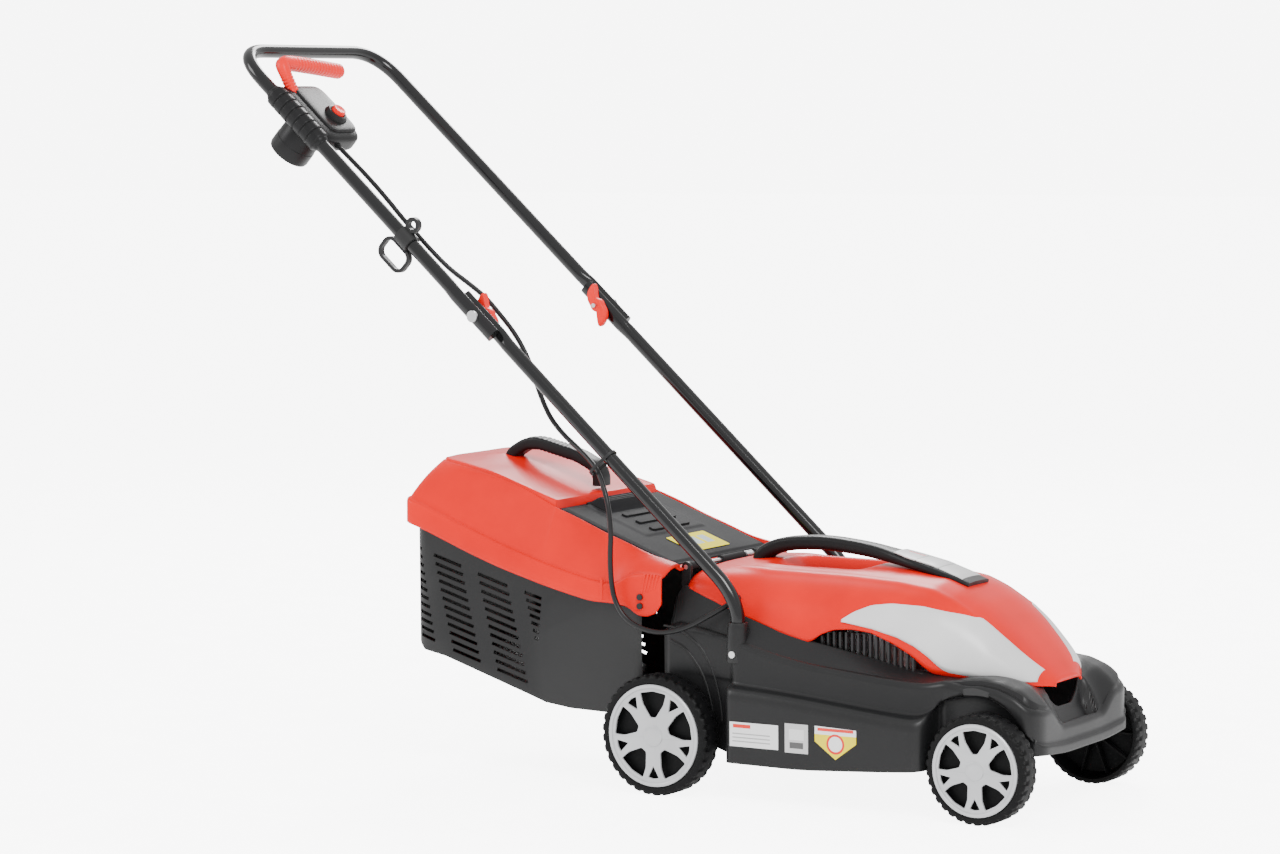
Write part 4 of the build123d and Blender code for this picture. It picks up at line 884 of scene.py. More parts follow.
# ---- motor cover ----------------------------------------------------------------------
@dataclass
class Cover:
    """The red motor cover, its pale trims, the carry handle and its badge.

    A cross-section is a superellipse standing on a base height: its half width falls with a
    power of the height, to the third root.
    """

    base_z: float = 150.0
    top: Knots = (
        (15, 292), (24, 297), (100, 300.5), (230, 299), (300, 296), (350, 290), (380, 278), (408, 262),
        (432, 243), (451, 225), (468, 208), (482, 194), (494, 181), (504, 167),
    )
    half: Knots = (
        (15, 137), (40, 140), (90, 143), (150, 144), (230, 144), (300, 140), (370, 130), (440, 112),
        (470, 95),
        (486, 80), (496, 62), (504, 34),
    )
    bottom: Knots = (
        (15, 270), (60, 254), (104, 236), (196, 209.5), (206, 212), (218, 221), (236, 228), (262, 230),
        (290, 227), (320, 215),
        (345, 201), (362, 187), (374, 179), (452, 169), (484, 164.5), (504, 160),
    )
    trim_top: Knots = (
        (246, 241), (262, 252), (284, 261), (310, 264), (352, 262), (400, 252), (440, 240), (470, 225),
        (485, 212),
        (495, 200),
    )
    trim_low: Knots = (
        (246, 238.5), (290, 232), (325, 223), (350, 212), (368, 200), (384, 186), (394, 181),
        (450, 172.5), (495, 168),
    )
    trim_reach: float = 0.93
    wall: float = 3.0

    def height(self, x: np.ndarray) -> np.ndarray:
        """The cover's crown height at a station."""
        return curve_at(x, list(self.top), 7)

    def width(self, x: np.ndarray) -> np.ndarray:
        """The cover's half width at its base at a station."""
        return curve_at(x, list(self.half), 9)

    def power(self, x: np.ndarray) -> np.ndarray:
        """The height's power in the section: 4 for a round shoulder, rising to a squarer rear."""
        return 4 + 10 * (1 - smooth_step(x, 15, 120))

    def shell(self) -> Piece:
        """The cover's skin: cross-sections from one lower edge over the crown to the other."""
        x = np.concatenate([np.linspace(15, 440, 86), np.linspace(443, 503.5, 26)])
        top, low = self.height(x), curve_at(x, list(self.bottom), 3)
        low = np.minimum(low, top - 2)
        power = self.power(x)
        start = np.arcsin(np.clip((low - self.base_z) / (top - self.base_z), 0, 0.999) ** (power / 2))
        share = np.linspace(0, 1, 91)[None]
        angle = start[:, None] + (math.pi - 2 * start[:, None]) * share
        y = -np.sign(np.cos(angle)) * np.abs(np.cos(angle)) ** (2 / 3) * self.width(x)[:, None]
        z = self.base_z + (top - self.base_z)[:, None] * np.sin(angle) ** (2 / power[:, None])
        dip = bump(x[:, None], 82, 236, 34) * bump(y, -58, 58, 26) * 25
        spine = np.exp(-((np.abs(y) - 84) / 7) ** 2) * 1.6 * bump(x[:, None], 30, 470, 60)
        points = np.stack([np.repeat(x[:, None], 91, 1), y, z - dip + spine], -1)
        rear = points[0].copy()
        rear[:, 0] += 1.0
        rear[:, 2] -= 8
        tip = points[-1].copy()
        tip[:, 0] += 1.5
        tip[:, 2] = np.minimum(tip[:, 2], 164)
        return sheet_piece("motor_cover_shell", np.concatenate([points, tip[None]]), wall=self.wall, sharp=45)

    def trim(self, name: str, side: float) -> Piece:
        """A pale shield on one flank, standing a little proud, edges turned in.

        Its rows run round the cover's own section between the shield's lower and upper lines,
        spaced evenly in the section's angle, so it follows the flank up to the shoulder.
        """
        x = np.linspace(246.5, 492, 96)
        crown = self.height(x) - self.base_z
        low = np.clip((curve_at(x, list(self.trim_low), 4) - self.base_z) / crown, 0.02, 0.95)
        high = np.clip((curve_at(x, list(self.trim_top), 5) - self.base_z) / crown, 0.03, self.trim_reach)
        first, last = np.arcsin(low**2), np.arcsin(np.maximum(high, low + 0.01) ** 2)
        share = np.linspace(0, 1, 26)[None]
        angle = first[:, None] + (last - first)[:, None] * share
        width = self.width(x)[:, None]
        y = width * np.cos(angle) ** (2 / 3)
        z = self.base_z + crown[:, None] * np.sin(angle) ** 0.5
        inner = bump(share, -0.02, 1.02, 0.13) * bump(x[:, None], 244, 494, 9)
        proud = 0.3 + 2.5 * np.sqrt(np.clip(inner, 0, 1))
        slope_y = (np.abs(y) / width) ** 2
        slope_z = ((z - self.base_z) / crown[:, None]) ** 3
        size = np.hypot(slope_y, slope_z)
        grid = np.stack(
            [np.repeat(x[:, None], 26, 1), side * (y + proud * slope_y / size), z + proud * slope_z / size], -1
        )
        return sheet_piece(f"flank_trim_{name}", grid, wall=2.0, sharp=50)

    def handle(self) -> Piece:
        """The carry handle: a squarish section along an arch, wide and flat at its front."""
        knots = np.array([
            (52, 290, 18, 9), (56, 304, 17, 10), (78, 315.5, 15.5, 10), (110, 321.5, 14.5, 9.5),
            (156, 323.5, 14.5, 9.8),
            (215, 318, 15, 9.5), (252, 311, 18, 9), (285, 305, 29, 7.6), (321, 297.6, 33, 7),
            (352, 288.5, 32.5, 6),
            (376, 281, 30, 4.5),
        ])
        rows = soften(knots, np.full(len(knots), 26.0), 5.0)
        path = np.column_stack([rows[:, 0], np.zeros(len(rows)), rows[:, 1]])
        return swept("carry_grip", path, rows[:, 2], rows[:, 3], (0, 0, 1), square=3.4, count=36)

    def badge(self) -> Piece:
        """A thin panel let into the handle's flat front."""
        x = np.linspace(262, 366, 30)
        top = np.interp(x, [262, 321, 358, 375], [318.9, 305.9, 293.4, 286.2])
        half = np.interp(x, [262, 285, 366], [19.0, 25.5, 27.0])
        y = np.linspace(-1, 1, 9)[None] * half[:, None]
        z = top[:, None] + 0.2 - 1.6 * (np.abs(y) / 29) ** 2.5
        grid = np.stack([np.repeat(x[:, None], 9, 1), y, z], -1)
        return bevelled(sheet_piece("carry_badge", grid, wall=1.6), 0.4)

    def build(self) -> None:
        """Makes the cover's pieces and dresses them."""
        settle(self.shell(), Body.CHASSIS, COVER_RED, ("motor_cover",))
        for name, side in SIDES:
            settle(self.trim(name, side), Body.CHASSIS, TRIM_PALE, (f"side_trim_{name}",))
        settle(self.handle(), Body.CHASSIS, GRIP_BLACK, ("carry_handle",))
        settle(self.badge(), Body.CHASSIS, BADGE, ("carry_handle_badge",))


# ---- wheels ---------------------------------------------------------------------------
@dataclass
class Wheel:
    """One wheel: treaded tyre with a dished inside, and a spoked hubcap.

    Args:
        end: front or rear.
        name: right or left.
        side: -1 on the right, 1 on the left.
        radius: rolling radius.
        face: distance of the outer face from the middle plane.
        centre: axle place in side view.
    """

    end: str
    name: str
    side: float
    radius: float
    face: float
    centre: Pair
    width: float = 41.5
    lugs: int = 34
    lug_depth: float = 2.2
    axle_r: float = 5.1

    def axes(self) -> Axes:
        """Local z points outwards from the outer face."""
        x, z = self.centre
        return Axes((x, self.side * self.face, z), x=(1, 0, 0), y=(0, 0, 1), z=(0, self.side, 0))

    def tyre(self) -> Piece:
        """Sidewall, tread, dish and hub turned about the axle, lugs cut into both shoulders."""
        r, cap = self.radius, self.radius * 0.858
        tread_n = 17
        tread = [(r, -6.0 - (self.width - 13.0) * k / (tread_n - 1)) for k in range(tread_n)]
        inner = -self.width + 2.0
        hub_in = inner - (0.0 if self.end == "front" else 9.7)
        profile = np.array(
            [(self.axle_r, hub_in), (self.axle_r, -10.3), (12, -10.3), (12, -14), (cap - 6, -14), (cap - 2, -9),
             (cap - 0.4, -4.5), (cap + 0.4, -2.4), (cap + 2.5, -1.8), (r - 4.5, -2.4), (r - 1.6, -3.6)]
            + tread
            + [(r - 1.2, inner + 1.2), (r - 3, inner), (r - 7, inner), (r - 8.5, inner + 2), (r - 10, -24),
               (r - 14, -18), (16, -17), (12, -19), (12, hub_in)]
        )
        first = 11
        count = self.lugs * 8
        angle = np.linspace(0, math.tau, count, endpoint=False)
        radius = np.repeat(profile[:, :1], count, 1)
        along = profile[:, 1]
        for row in range(first - 1, first + tread_n + 1):
            place = (along[row] + 6) / -(self.width - 13)
            outer_side = place < 0.5
            lean = 0.5 * abs(place - 0.5)
            wave = np.sin(self.lugs * (angle + (0 if outer_side else math.pi / self.lugs)) + 4 * lean)
            edge = smooth_step(np.array(abs(place - 0.5)), 0.12, 0.3)
            radius[row] -= self.lug_depth * smooth_step(wave, 0.15, 0.55) * float(edge)
        along = np.repeat(along[:, None], count, 1)
        local = np.stack([radius * np.cos(angle), radius * np.sin(angle), along], -1)
        return sheet_piece(f"tyre_{self.end}_{self.name}", self.axes().place(local), wrap_rows=True,
                           wrap_columns=True, sharp=34)

    def ribs(self) -> Piece:
        """Radial ribs on the dish's inner side, as thin upright webs."""
        verts, faces = [], []
        cap = self.radius - 11
        for turn in range(10):
            angle = turn * math.tau / 10
            out = np.array([math.cos(angle), math.sin(angle)])
            across = np.array([-out[1], out[0]])
            for r, depth in ((13, -30), (cap, -26), (cap, -18), (13, -18)):
                for half in (-0.9, 0.9):
                    verts.append([*(out * r + across * half), depth])
            base = turn * 8
            faces += [[base + i for i in loop] for loop in
                      ((0, 2, 4, 6), (1, 7, 5, 3), (0, 1, 3, 2), (2, 3, 5, 4), (4, 5, 7, 6), (6, 7, 1, 0))]
        return make_mesh(f"wheel_ribs_{self.end}_{self.name}", self.axes().place(np.array(verts)), faces)

    def spokes(self) -> Piece:
        """The hubcap's face: a filled disc with five wide and five small windows, edges rolled."""
        outline = bpy.data.curves.new("cap_outline", "CURVE")
        outline.dimensions = "2D"
        outline.fill_mode = "BOTH"
        outline.extrude = 0.9 * MM
        outline.bevel_depth = 1.0 * MM
        outline.bevel_resolution = 3
        edge = self.radius * 0.858
        loops = [np.column_stack([np.cos(t), np.sin(t)]) * (edge - 3.4)
                 for t in [np.linspace(0, math.tau, 120, endpoint=False)]]
        for turn in range(5):
            for shape, reach, spin in (
                (((0.34, -0.07), (0.6, -0.245), (0.82, -0.305), (0.87, 0.0), (0.82, 0.305), (0.6, 0.245), (0.34, 0.07)),
                 0.055, 0.0),
                (((0.56, 0.0), (0.82, -0.14), (0.85, 0.0), (0.82, 0.14)), 0.04, 0.5),
            ):
                loop = soften_loop(np.array(shape) * edge, reach * edge, 2.0)
                spin_by = (turn + spin) * math.tau / 5 + math.pi / 2
                c, s = math.cos(spin_by), math.sin(spin_by)
                loops.append(loop @ np.array([[c, s], [-s, c]]))
        for loop in loops:
            line = outline.splines.new("POLY")
            line.points.add(len(loop) - 1)
            flat = np.column_stack([loop * MM, np.zeros(len(loop)), np.ones(len(loop))])
            line.points.foreach_set("co", flat.ravel())
            line.use_cyclic_u = True
        holder = bpy.data.objects.new("cap_outline", outline)
        bpy.context.scene.collection.objects.link(holder)
        bpy.context.view_layer.update()
        mesh = bpy.data.meshes.new_from_object(holder.evaluated_get(bpy.context.evaluated_depsgraph_get()))
        verts = np.empty(len(mesh.vertices) * 3)
        mesh.vertices.foreach_get("co", verts)
        verts = verts.reshape(-1, 3) / MM
        faces = [list(p.vertices) for p in mesh.polygons]
        bpy.data.objects.remove(holder)
        bpy.data.meshes.remove(mesh)
        verts[:, 2] += 1.0 * (1 - (np.hypot(verts[:, 0], verts[:, 1]) / edge) ** 2) - 4.2
        obj = make_mesh(f"cap_spokes_{self.end}_{self.name}", self.axes().place(verts), faces)
        obj.data.shade_smooth()
        obj.data.set_sharp_from_angle(angle=math.radians(40))
        return obj

    def rim(self) -> list[Piece]:
        """The cap's raised rim ring and its round centre button."""
        edge = self.radius * 0.858 - 0.6
        ring = [(edge - 5.6, -3.4), (edge - 5.2, -1.2), (edge - 4, -0.4), (edge - 1.6, -0.4), (edge - 0.4, -1.4),
                (edge, -3.4), (edge - 0.4, -5.6), (edge - 5.4, -5.6), (edge - 5.6, -3.4)]
        button = [(0, 0.0), (edge * 0.1, 0.0), (edge * 0.18, -0.2), (edge * 0.205, -0.9), (edge * 0.215, -2.2),
                  (edge * 0.215, -4.6), (0, -4.6)]
        return [turned(f"cap_rim_{self.end}_{self.name}", ring, self.axes(), 96),
                turned(f"cap_button_{self.end}_{self.name}", button, self.axes(), 48)]

    def build(self) -> None:
        """Makes the wheel's pieces and dresses them."""
        body = f"wheel_{self.end}_{self.name}"
        settle(self.tyre(), body, TYRE_BLACK, (body,))
        settle(self.ribs(), body, TYRE_BLACK)
        settle(self.spokes(), body, HUB_SILVER, (f"hubcap_{self.end}_{self.name}",))
        for piece in self.rim():
            settle(piece, body, HUB_SILVER)


# ---- handle ---------------------------------------------------------------------------
HANDLE_ANGLE = math.radians(42.28)
SLOPE = (-math.cos(HANDLE_ANGLE), 0.0, math.sin(HANDLE_ANGLE))
ABOVE = (math.sin(HANDLE_ANGLE), 0.0, math.cos(HANDLE_ANGLE))
HANDLE = Axes((105.0, 0.0, 262.8), x=SLOPE, y=(0, 1, 0), z=ABOVE)


@dataclass
class Handle:
    """Tubes, switch box, inlet shroud, lever and button, in the handle's own directions.

    Local x runs up the slope from the bend, y to the left, z above the tubes.
    """

    tube_r: float = 9.5
    fold_s: float = 537.0
    lap: float = 38.0
    lower_y: float = 158.0
    upper_y: float = 168.0
    length: float = 1074.9
    corner: float = 62.0

    def lower_tube(self, name: str, side: float) -> Piece:
        """A round tube from its socket round the bend, pressed flat past the fold."""
        top = self.fold_s + self.lap
        end = HANDLE.place(np.array([top, 0, 0]))
        corners = np.array([(105.0, 190.0), (105.0, 262.8), (end[0], end[2])])
        rows = soften(corners, np.array([0, 44, 0]), 6.0, 14)
        path = np.column_stack([rows[:, 0], np.full(len(rows), side * self.lower_y), rows[:, 1]])
        flat = smooth_step(path[:, 2], HANDLE.place(np.array([self.fold_s - 62, 0, 0]))[2],
                           HANDLE.place(np.array([self.fold_s - 38, 0, 0]))[2])
        side_half = self.tube_r - 2.6 * flat
        path[:, 1] -= side * 2.6 * flat
        return swept(f"handle_tube_lower_{name}", path, side_half, self.tube_r + 1.0 * flat, ABOVE, count=32)

    def upper_tube(self) -> Piece:
        """The U-shaped tube over both sides, pressed flat below each fold bolt."""
        low = self.fold_s - self.lap
        y = self.upper_y
        corners = np.array([(low, -y), (self.length, -y), (self.length, y), (low, y)])
        rows = soften(corners, np.array([0, self.corner, self.corner, 0]), 6.0, 18)
        near = 1 - smooth_step(rows[:, 0], self.fold_s + 38, self.fold_s + 62)
        rows[:, 1] += np.sign(rows[:, 1]) * 2.6 * near
        path = HANDLE.place(np.column_stack([rows, np.zeros(len(rows))]))
        side_half, up_half = self.tube_r - 2.6 * near, self.tube_r + 1.0 * near
        return swept("handle_tube_upper", path, side_half, up_half, ABOVE, count=32)

    def switch_box(self) -> list[Piece]:
        """The rounded box, its raised panel, the ribbed clamp on the tube and the button's collar."""
        body = superbox("switch_housing", (57, 47, 16.0), Axes(tuple(HANDLE.place(np.array([934, -124, 0.0]))),
                        x=SLOPE, z=ABOVE), 4.6, 80)
        panel = superbox("switch_panel", (47, 33, 4.5), Axes(tuple(HANDLE.place(np.array([936, -116, 14.2]))),
                         x=SLOPE, z=ABOVE), 5.5, 64)
        s = np.linspace(877, 992, 185)
        angle = np.linspace(0, math.tau, 48, endpoint=False)
        phase = ((s - 884) / 14.4) % 1.0
        groove = 1 - smooth_step(np.abs(phase - 0.5) * 2, 0.72, 0.95)
        ends = np.sqrt(np.clip(1 - ((s - 934.5) / 58.6) ** 16, 0.55, 1))
        radius = (13.0 + 2.2 * groove * bump(s, 882, 987, 4)) * ends
        local = np.stack([
            np.repeat(s[:, None], 48, 1),
            -168 + radius[:, None] * np.cos(angle) * np.where(np.cos(angle) > 0, 1.2, 0.98),
            radius[:, None] * np.sin(angle) * 1.04,
        ], -1)
        clamp = sheet_piece("switch_clamp", HANDLE.place(local), wrap_columns=True, caps=True, sharp=70)
        top = Axes(tuple(HANDLE.place(np.array([920, -110, 0]))), x=SLOPE, z=ABOVE)
        collar = turned("button_collar", [(10.5, 12), (10.5, 24.2), (12, 25.4), (14.6, 24.8), (16.6, 21), (18, 17.5),
                                          (18, 12)], top, 48)
        return [body, panel, clamp, collar]

    def shroud(self) -> Piece:
        """The round open shroud round the inlet's pins, with a stepped rim and a floor."""
        axis = tuple(-v for v in ABOVE)
        place = Axes(tuple(HANDLE.place(np.array([930, -139, 0]))), x=SLOPE, y=(0, -1, 0), z=axis)
        profile = [(27, 8), (29, 12), (29.4, 40), (30, 41), (30, 58), (29, 61), (26.6, 61), (25.6, 59.5), (25.6, 20),
                   (0, 20)]
        return turned("inlet_shroud", profile, place, 72)

    def lever(self) -> Piece:
        """The switch lever: arm from its pivot, a tight turn, then a round grip across."""
        knots = np.array([
            (964, -142, 4), (984, -145, 14), (1006, -150, 26), (1016, -146, 29), (1016, -124, 29),
            (1013, -80, 26.5),
            (1008, -6, 21),
        ])
        rows = soften(knots[:, [0, 2, 1]], np.array([0, 12, 12, 10, 14, 20, 0]), 2.0)
        path = HANDLE.place(rows[:, [0, 2, 1]])
        length = np.concatenate([[0], np.cumsum(np.linalg.norm(np.diff(path, axis=0), axis=1))])
        whole = length[-1]
        turn = np.linspace(0, math.pi / 2, 9)
        along = np.concatenate([
            8 * (1 - np.cos(turn)), np.linspace(9, whole - 11, 150), whole - 10 + 10 * np.sin(turn),
        ])
        path = np.stack([np.interp(along, length, path[:, k]) for k in range(3)], -1)
        ends = np.concatenate([np.sin(turn) * 0.98 + 0.02, np.ones(150), np.cos(turn) * 0.98 + 0.02])
        share = smooth_step(along, 38, 66)
        arm_ribs = 0.5 * np.sin(along * 1.3) * (1 - smooth_step(along, 34, 42))
        ribs = arm_ribs + 0.25 * np.sin(along * 0.9) * smooth_step(along, 74, 84)
        side_half = (9.0 + 1.6 * share + ribs) * ends
        up_half = (8.0 + 2.4 * share + ribs) * ends
        return swept("lever_grip", path, side_half, up_half, ABOVE, square=2.3, count=32)

    def button(self) -> Piece:
        """The red lock button: a crowned round cap with a finger dish."""
        top = Axes(tuple(HANDLE.place(np.array([920, -110, 0]))), x=SLOPE, z=ABOVE)
        profile = [(0, 29.4), (4, 29.8), (7.2, 30.6), (8.6, 30.7), (9.6, 30), (9.9, 28.4), (9.9, 8), (0, 8)]
        return turned("lock_button_cap", profile, top, 48)

    def wing_nut(self, name: str, side: float) -> Piece:
        """An S-shaped two-winged nut: round hub, wings thinning and curling away."""
        angle = np.linspace(0, math.tau, 120, endpoint=False)
        reach = np.abs(np.cos(angle))
        wing = 9.5 + 23.0 * reach**9 * (0.75 + 0.25 * smooth_step(np.sin(2 * angle), -0.4, 0.4))
        lean = 0.62 * (wing - 9.5) / 23.0
        plan = np.column_stack([wing * np.cos(angle + lean), wing * np.sin(angle + lean)])
        levels = []
        for share, lift in (
            (0.86, 0.0), (0.96, 1.0), (1.0, 2.4), (1.0, 9.0), (0.95, 11.0), (0.82, 12.0), (0.3, 12.4), (0.0, 12.4),
        ):
            levels.append(np.column_stack([plan * share, np.full(len(plan), lift)]))
        levels.insert(0, np.column_stack([plan * 0.0, np.zeros(len(plan))]))
        middle_at = tuple(HANDLE.place(np.array([self.fold_s, side * 146.6, 0])))
        place = Axes(middle_at, x=SLOPE, y=ABOVE, z=(0, -side, 0))
        return sheet_piece(f"wing_nut_grip_{name}", place.place(np.array(levels)), wrap_columns=True, sharp=55)

    def build(self) -> None:
        """Makes the handle's pieces and dresses them."""
        for name, side in SIDES:
            settle(self.lower_tube(name, side), Body.CHASSIS, TUBE_BLACK, (f"lower_tube_{name}",))
            settle(self.wing_nut(name, side), f"wing_nut_{name}", LEVER_RED, (f"wing_nut_{name}",))
        settle(self.upper_tube(), Body.HANDLE, TUBE_BLACK, ("upper_tube",))
        box, *rest = self.switch_box()
        settle(box, Body.HANDLE, GRIP_BLACK, ("switch_box_cover", "switch_box_base"))
        for piece in [*rest, self.shroud()]:
            settle(piece, Body.HANDLE, GRIP_BLACK)
        settle(self.lever(), Body.LEVER, LEVER_RED, ("switch_lever",))
        settle(self.button(), Body.BUTTON, LEVER_RED, ("lock_button",))


# ---- motor lead -----------------------------------------------------------------------
@dataclass
class Lead:
    """The motor's lead: one smooth curve from the switch box to the cover's gland."""

    radius: float = 3.5
    on_handle: tuple[Triple, ...] = (
        (874, -134, 1), (845, -136, 3), (806, -138, 5), (765, -138, 4), (728, -137, 1), (700, -139, 2),
        (664, -138, 1), (628, -133, 0), (596, -125, 3), (566, -119, 5), (535, -118, 3), (504, -118, 1),
        (474, -121, -4), (447, -126, -11), (418, -132, -22), (394, -136, -30), (370, -139, -36),
        (340, -142, -36), (312, -147, -31), (286, -157, -25), (262, -168, -21),
    )
    hanging: tuple[Triple, ...] = (
        (-88, -177, 403), (-77, -183, 378), (-72, -185, 345), (-74, -185, 312), (-73, -185, 280),
        (-68, -185, 254),
        (-53, -185, 231), (-29, -184, 218), (2, -181, 213), (33, -174, 220), (60, -162, 236),
        (92, -136, 258),
    )

    def line(self) -> np.ndarray:
        """Places along the lead, read from its NURBS curve, in millimetres from the rear axle."""
        points = np.vstack([HANDLE.place(np.array(self.on_handle)), np.array(self.hanging)])
        curve = bpy.data.curves.new("lead_line", "CURVE")
        curve.dimensions = "3D"
        curve.resolution_u = 10
        spline = curve.splines.new("NURBS")
        spline.points.add(len(points) - 1)
        world = (points + [REAR_AXLE_X, 0, 0]) * MM
        spline.points.foreach_set("co", np.column_stack([world, np.ones(len(points))]).ravel())
        spline.order_u = 3
        spline.use_endpoint_u = True
        holder = bpy.data.objects.new("lead_line", curve)
        bpy.context.scene.collection.objects.link(holder)
        bpy.context.view_layer.update()
        mesh = bpy.data.meshes.new_from_object(holder.evaluated_get(bpy.context.evaluated_depsgraph_get()))
        places = np.empty(len(mesh.vertices) * 3)
        mesh.vertices.foreach_get("co", places)
        bpy.data.objects.remove(holder)
        bpy.data.meshes.remove(mesh)
        return places.reshape(-1, 3) / MM - [REAR_AXLE_X, 0, 0]

    def build(self) -> None:
        """Makes the lead as a round tube along its curve, and the boot at the gland."""
        path = self.line()
        widths = np.full(len(path), self.radius)
        tube = swept("motor_lead_sheath", path, widths, widths, ABOVE, count=14)
        tube.data.materials.append(SHEATH_BLACK.material())
        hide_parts("motor_lead")
        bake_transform(tube)
        turn = np.array([(92, -136, 258), (90, -130, 260), (87, -124, 262), (85, -118, 263)], float)
        wide = np.array([4.4, 5.4, 6.0, 6.2])
        boot = swept("lead_boot", turn, wide, wide, (0, 0, 1), count=24)
        settle(boot, Body.CHASSIS, SHEATH_BLACK, ("cable_gland",))
        LOG.info("lead of %d places", len(path))


# ---- flap -----------------------------------------------------------------------------
@dataclass
class Flap:
    """The rear flap in its own plane: panel, three bars, ribbed thumb tab and hinge barrels."""

    angle: float = math.radians(20.5)
    length: float = 205.0
    half: float = 128.0

    def axes(self) -> Axes:
        """Local x runs back from the hinge pin, y to the left, z up from the panel."""
        return Axes((5.0, 0.0, 295.0), x=(-math.cos(self.angle), 0, math.sin(self.angle)),
                    z=(math.sin(self.angle), 0, math.cos(self.angle)))

    def panel(self) -> Piece:
        """A crowned sheet with a raised border line and a stiffening step."""
        s = np.linspace(14, self.length, 80)
        y = np.linspace(-self.half, self.half, 72)
        ss, yy = np.meshgrid(s, y, indexing="ij")
        border = bump(ss, 18, self.length - 3, 4) * bump(yy, -self.half + 3, self.half - 3, 4)
        rise = 1.4 * bump(ss, 90, self.length - 2, 6) * bump(yy, -80, 80, 6)
        z = -2.2 + 1.6 * border + rise - 0.5 * (yy / self.half) ** 2
        return sheet_piece("flap_panel", self.axes().place(np.stack([ss, yy, z], -1)), wall=3.0, sharp=40)

    def extras(self) -> list[Piece]:
        """Bars, thumb tab with ribs and the hinge barrels."""
        axes = self.axes()
        made = [plate(f"flap_bar_{k}", rounded_rectangle(9, 98, 3, (s, 2)), 0, 3.2, axes, 0.8)
                for k, s in enumerate((106, 129, 152))]
        tab_s = np.linspace(self.length - 42, self.length - 1, 56)
        tab_y = np.linspace(-64, 64, 40)
        ss, yy = np.meshgrid(tab_s, tab_y, indexing="ij")
        swell = bump(ss, tab_s[0], tab_s[-1] + 2, 16) * bump(yy, -65, 65, 12)
        wave = smooth_step(np.sin((ss - tab_s[0]) * math.tau / 4.4), 0.0, 0.6)
        ribs = 0.8 * wave * bump(ss, tab_s[0] + 12, tab_s[-1], 3)
        tab = np.stack([ss, yy, 0.2 + (12 + ribs) * swell], -1)
        made.append(sheet_piece("flap_thumb_tab", axes.place(tab), wall=2.0))
        for k, (y0, y1) in enumerate(((-112, -60), (-30, 30), (60, 112))):
            pin = Axes((5.0, y0, 295.0), x=(1, 0, 0), y=(0, 0, -1), z=(0, 1, 0))
            profile = [(3.1, 0), (5.4, 0), (6, 0.6), (6, y1 - y0 - 0.6), (5.4, y1 - y0), (3.1, y1 - y0), (3.1, 0)]
            made.append(turned(f"flap_barrel_{k}", profile, pin, 28))
        return made

    def build(self) -> None:
        """Makes the flap's pieces and dresses them."""
        settle(self.panel(), Body.FLAP, GRAPHITE, ("rear_flap",))
        for piece in self.extras():
            settle(piece, Body.FLAP, GRAPHITE)


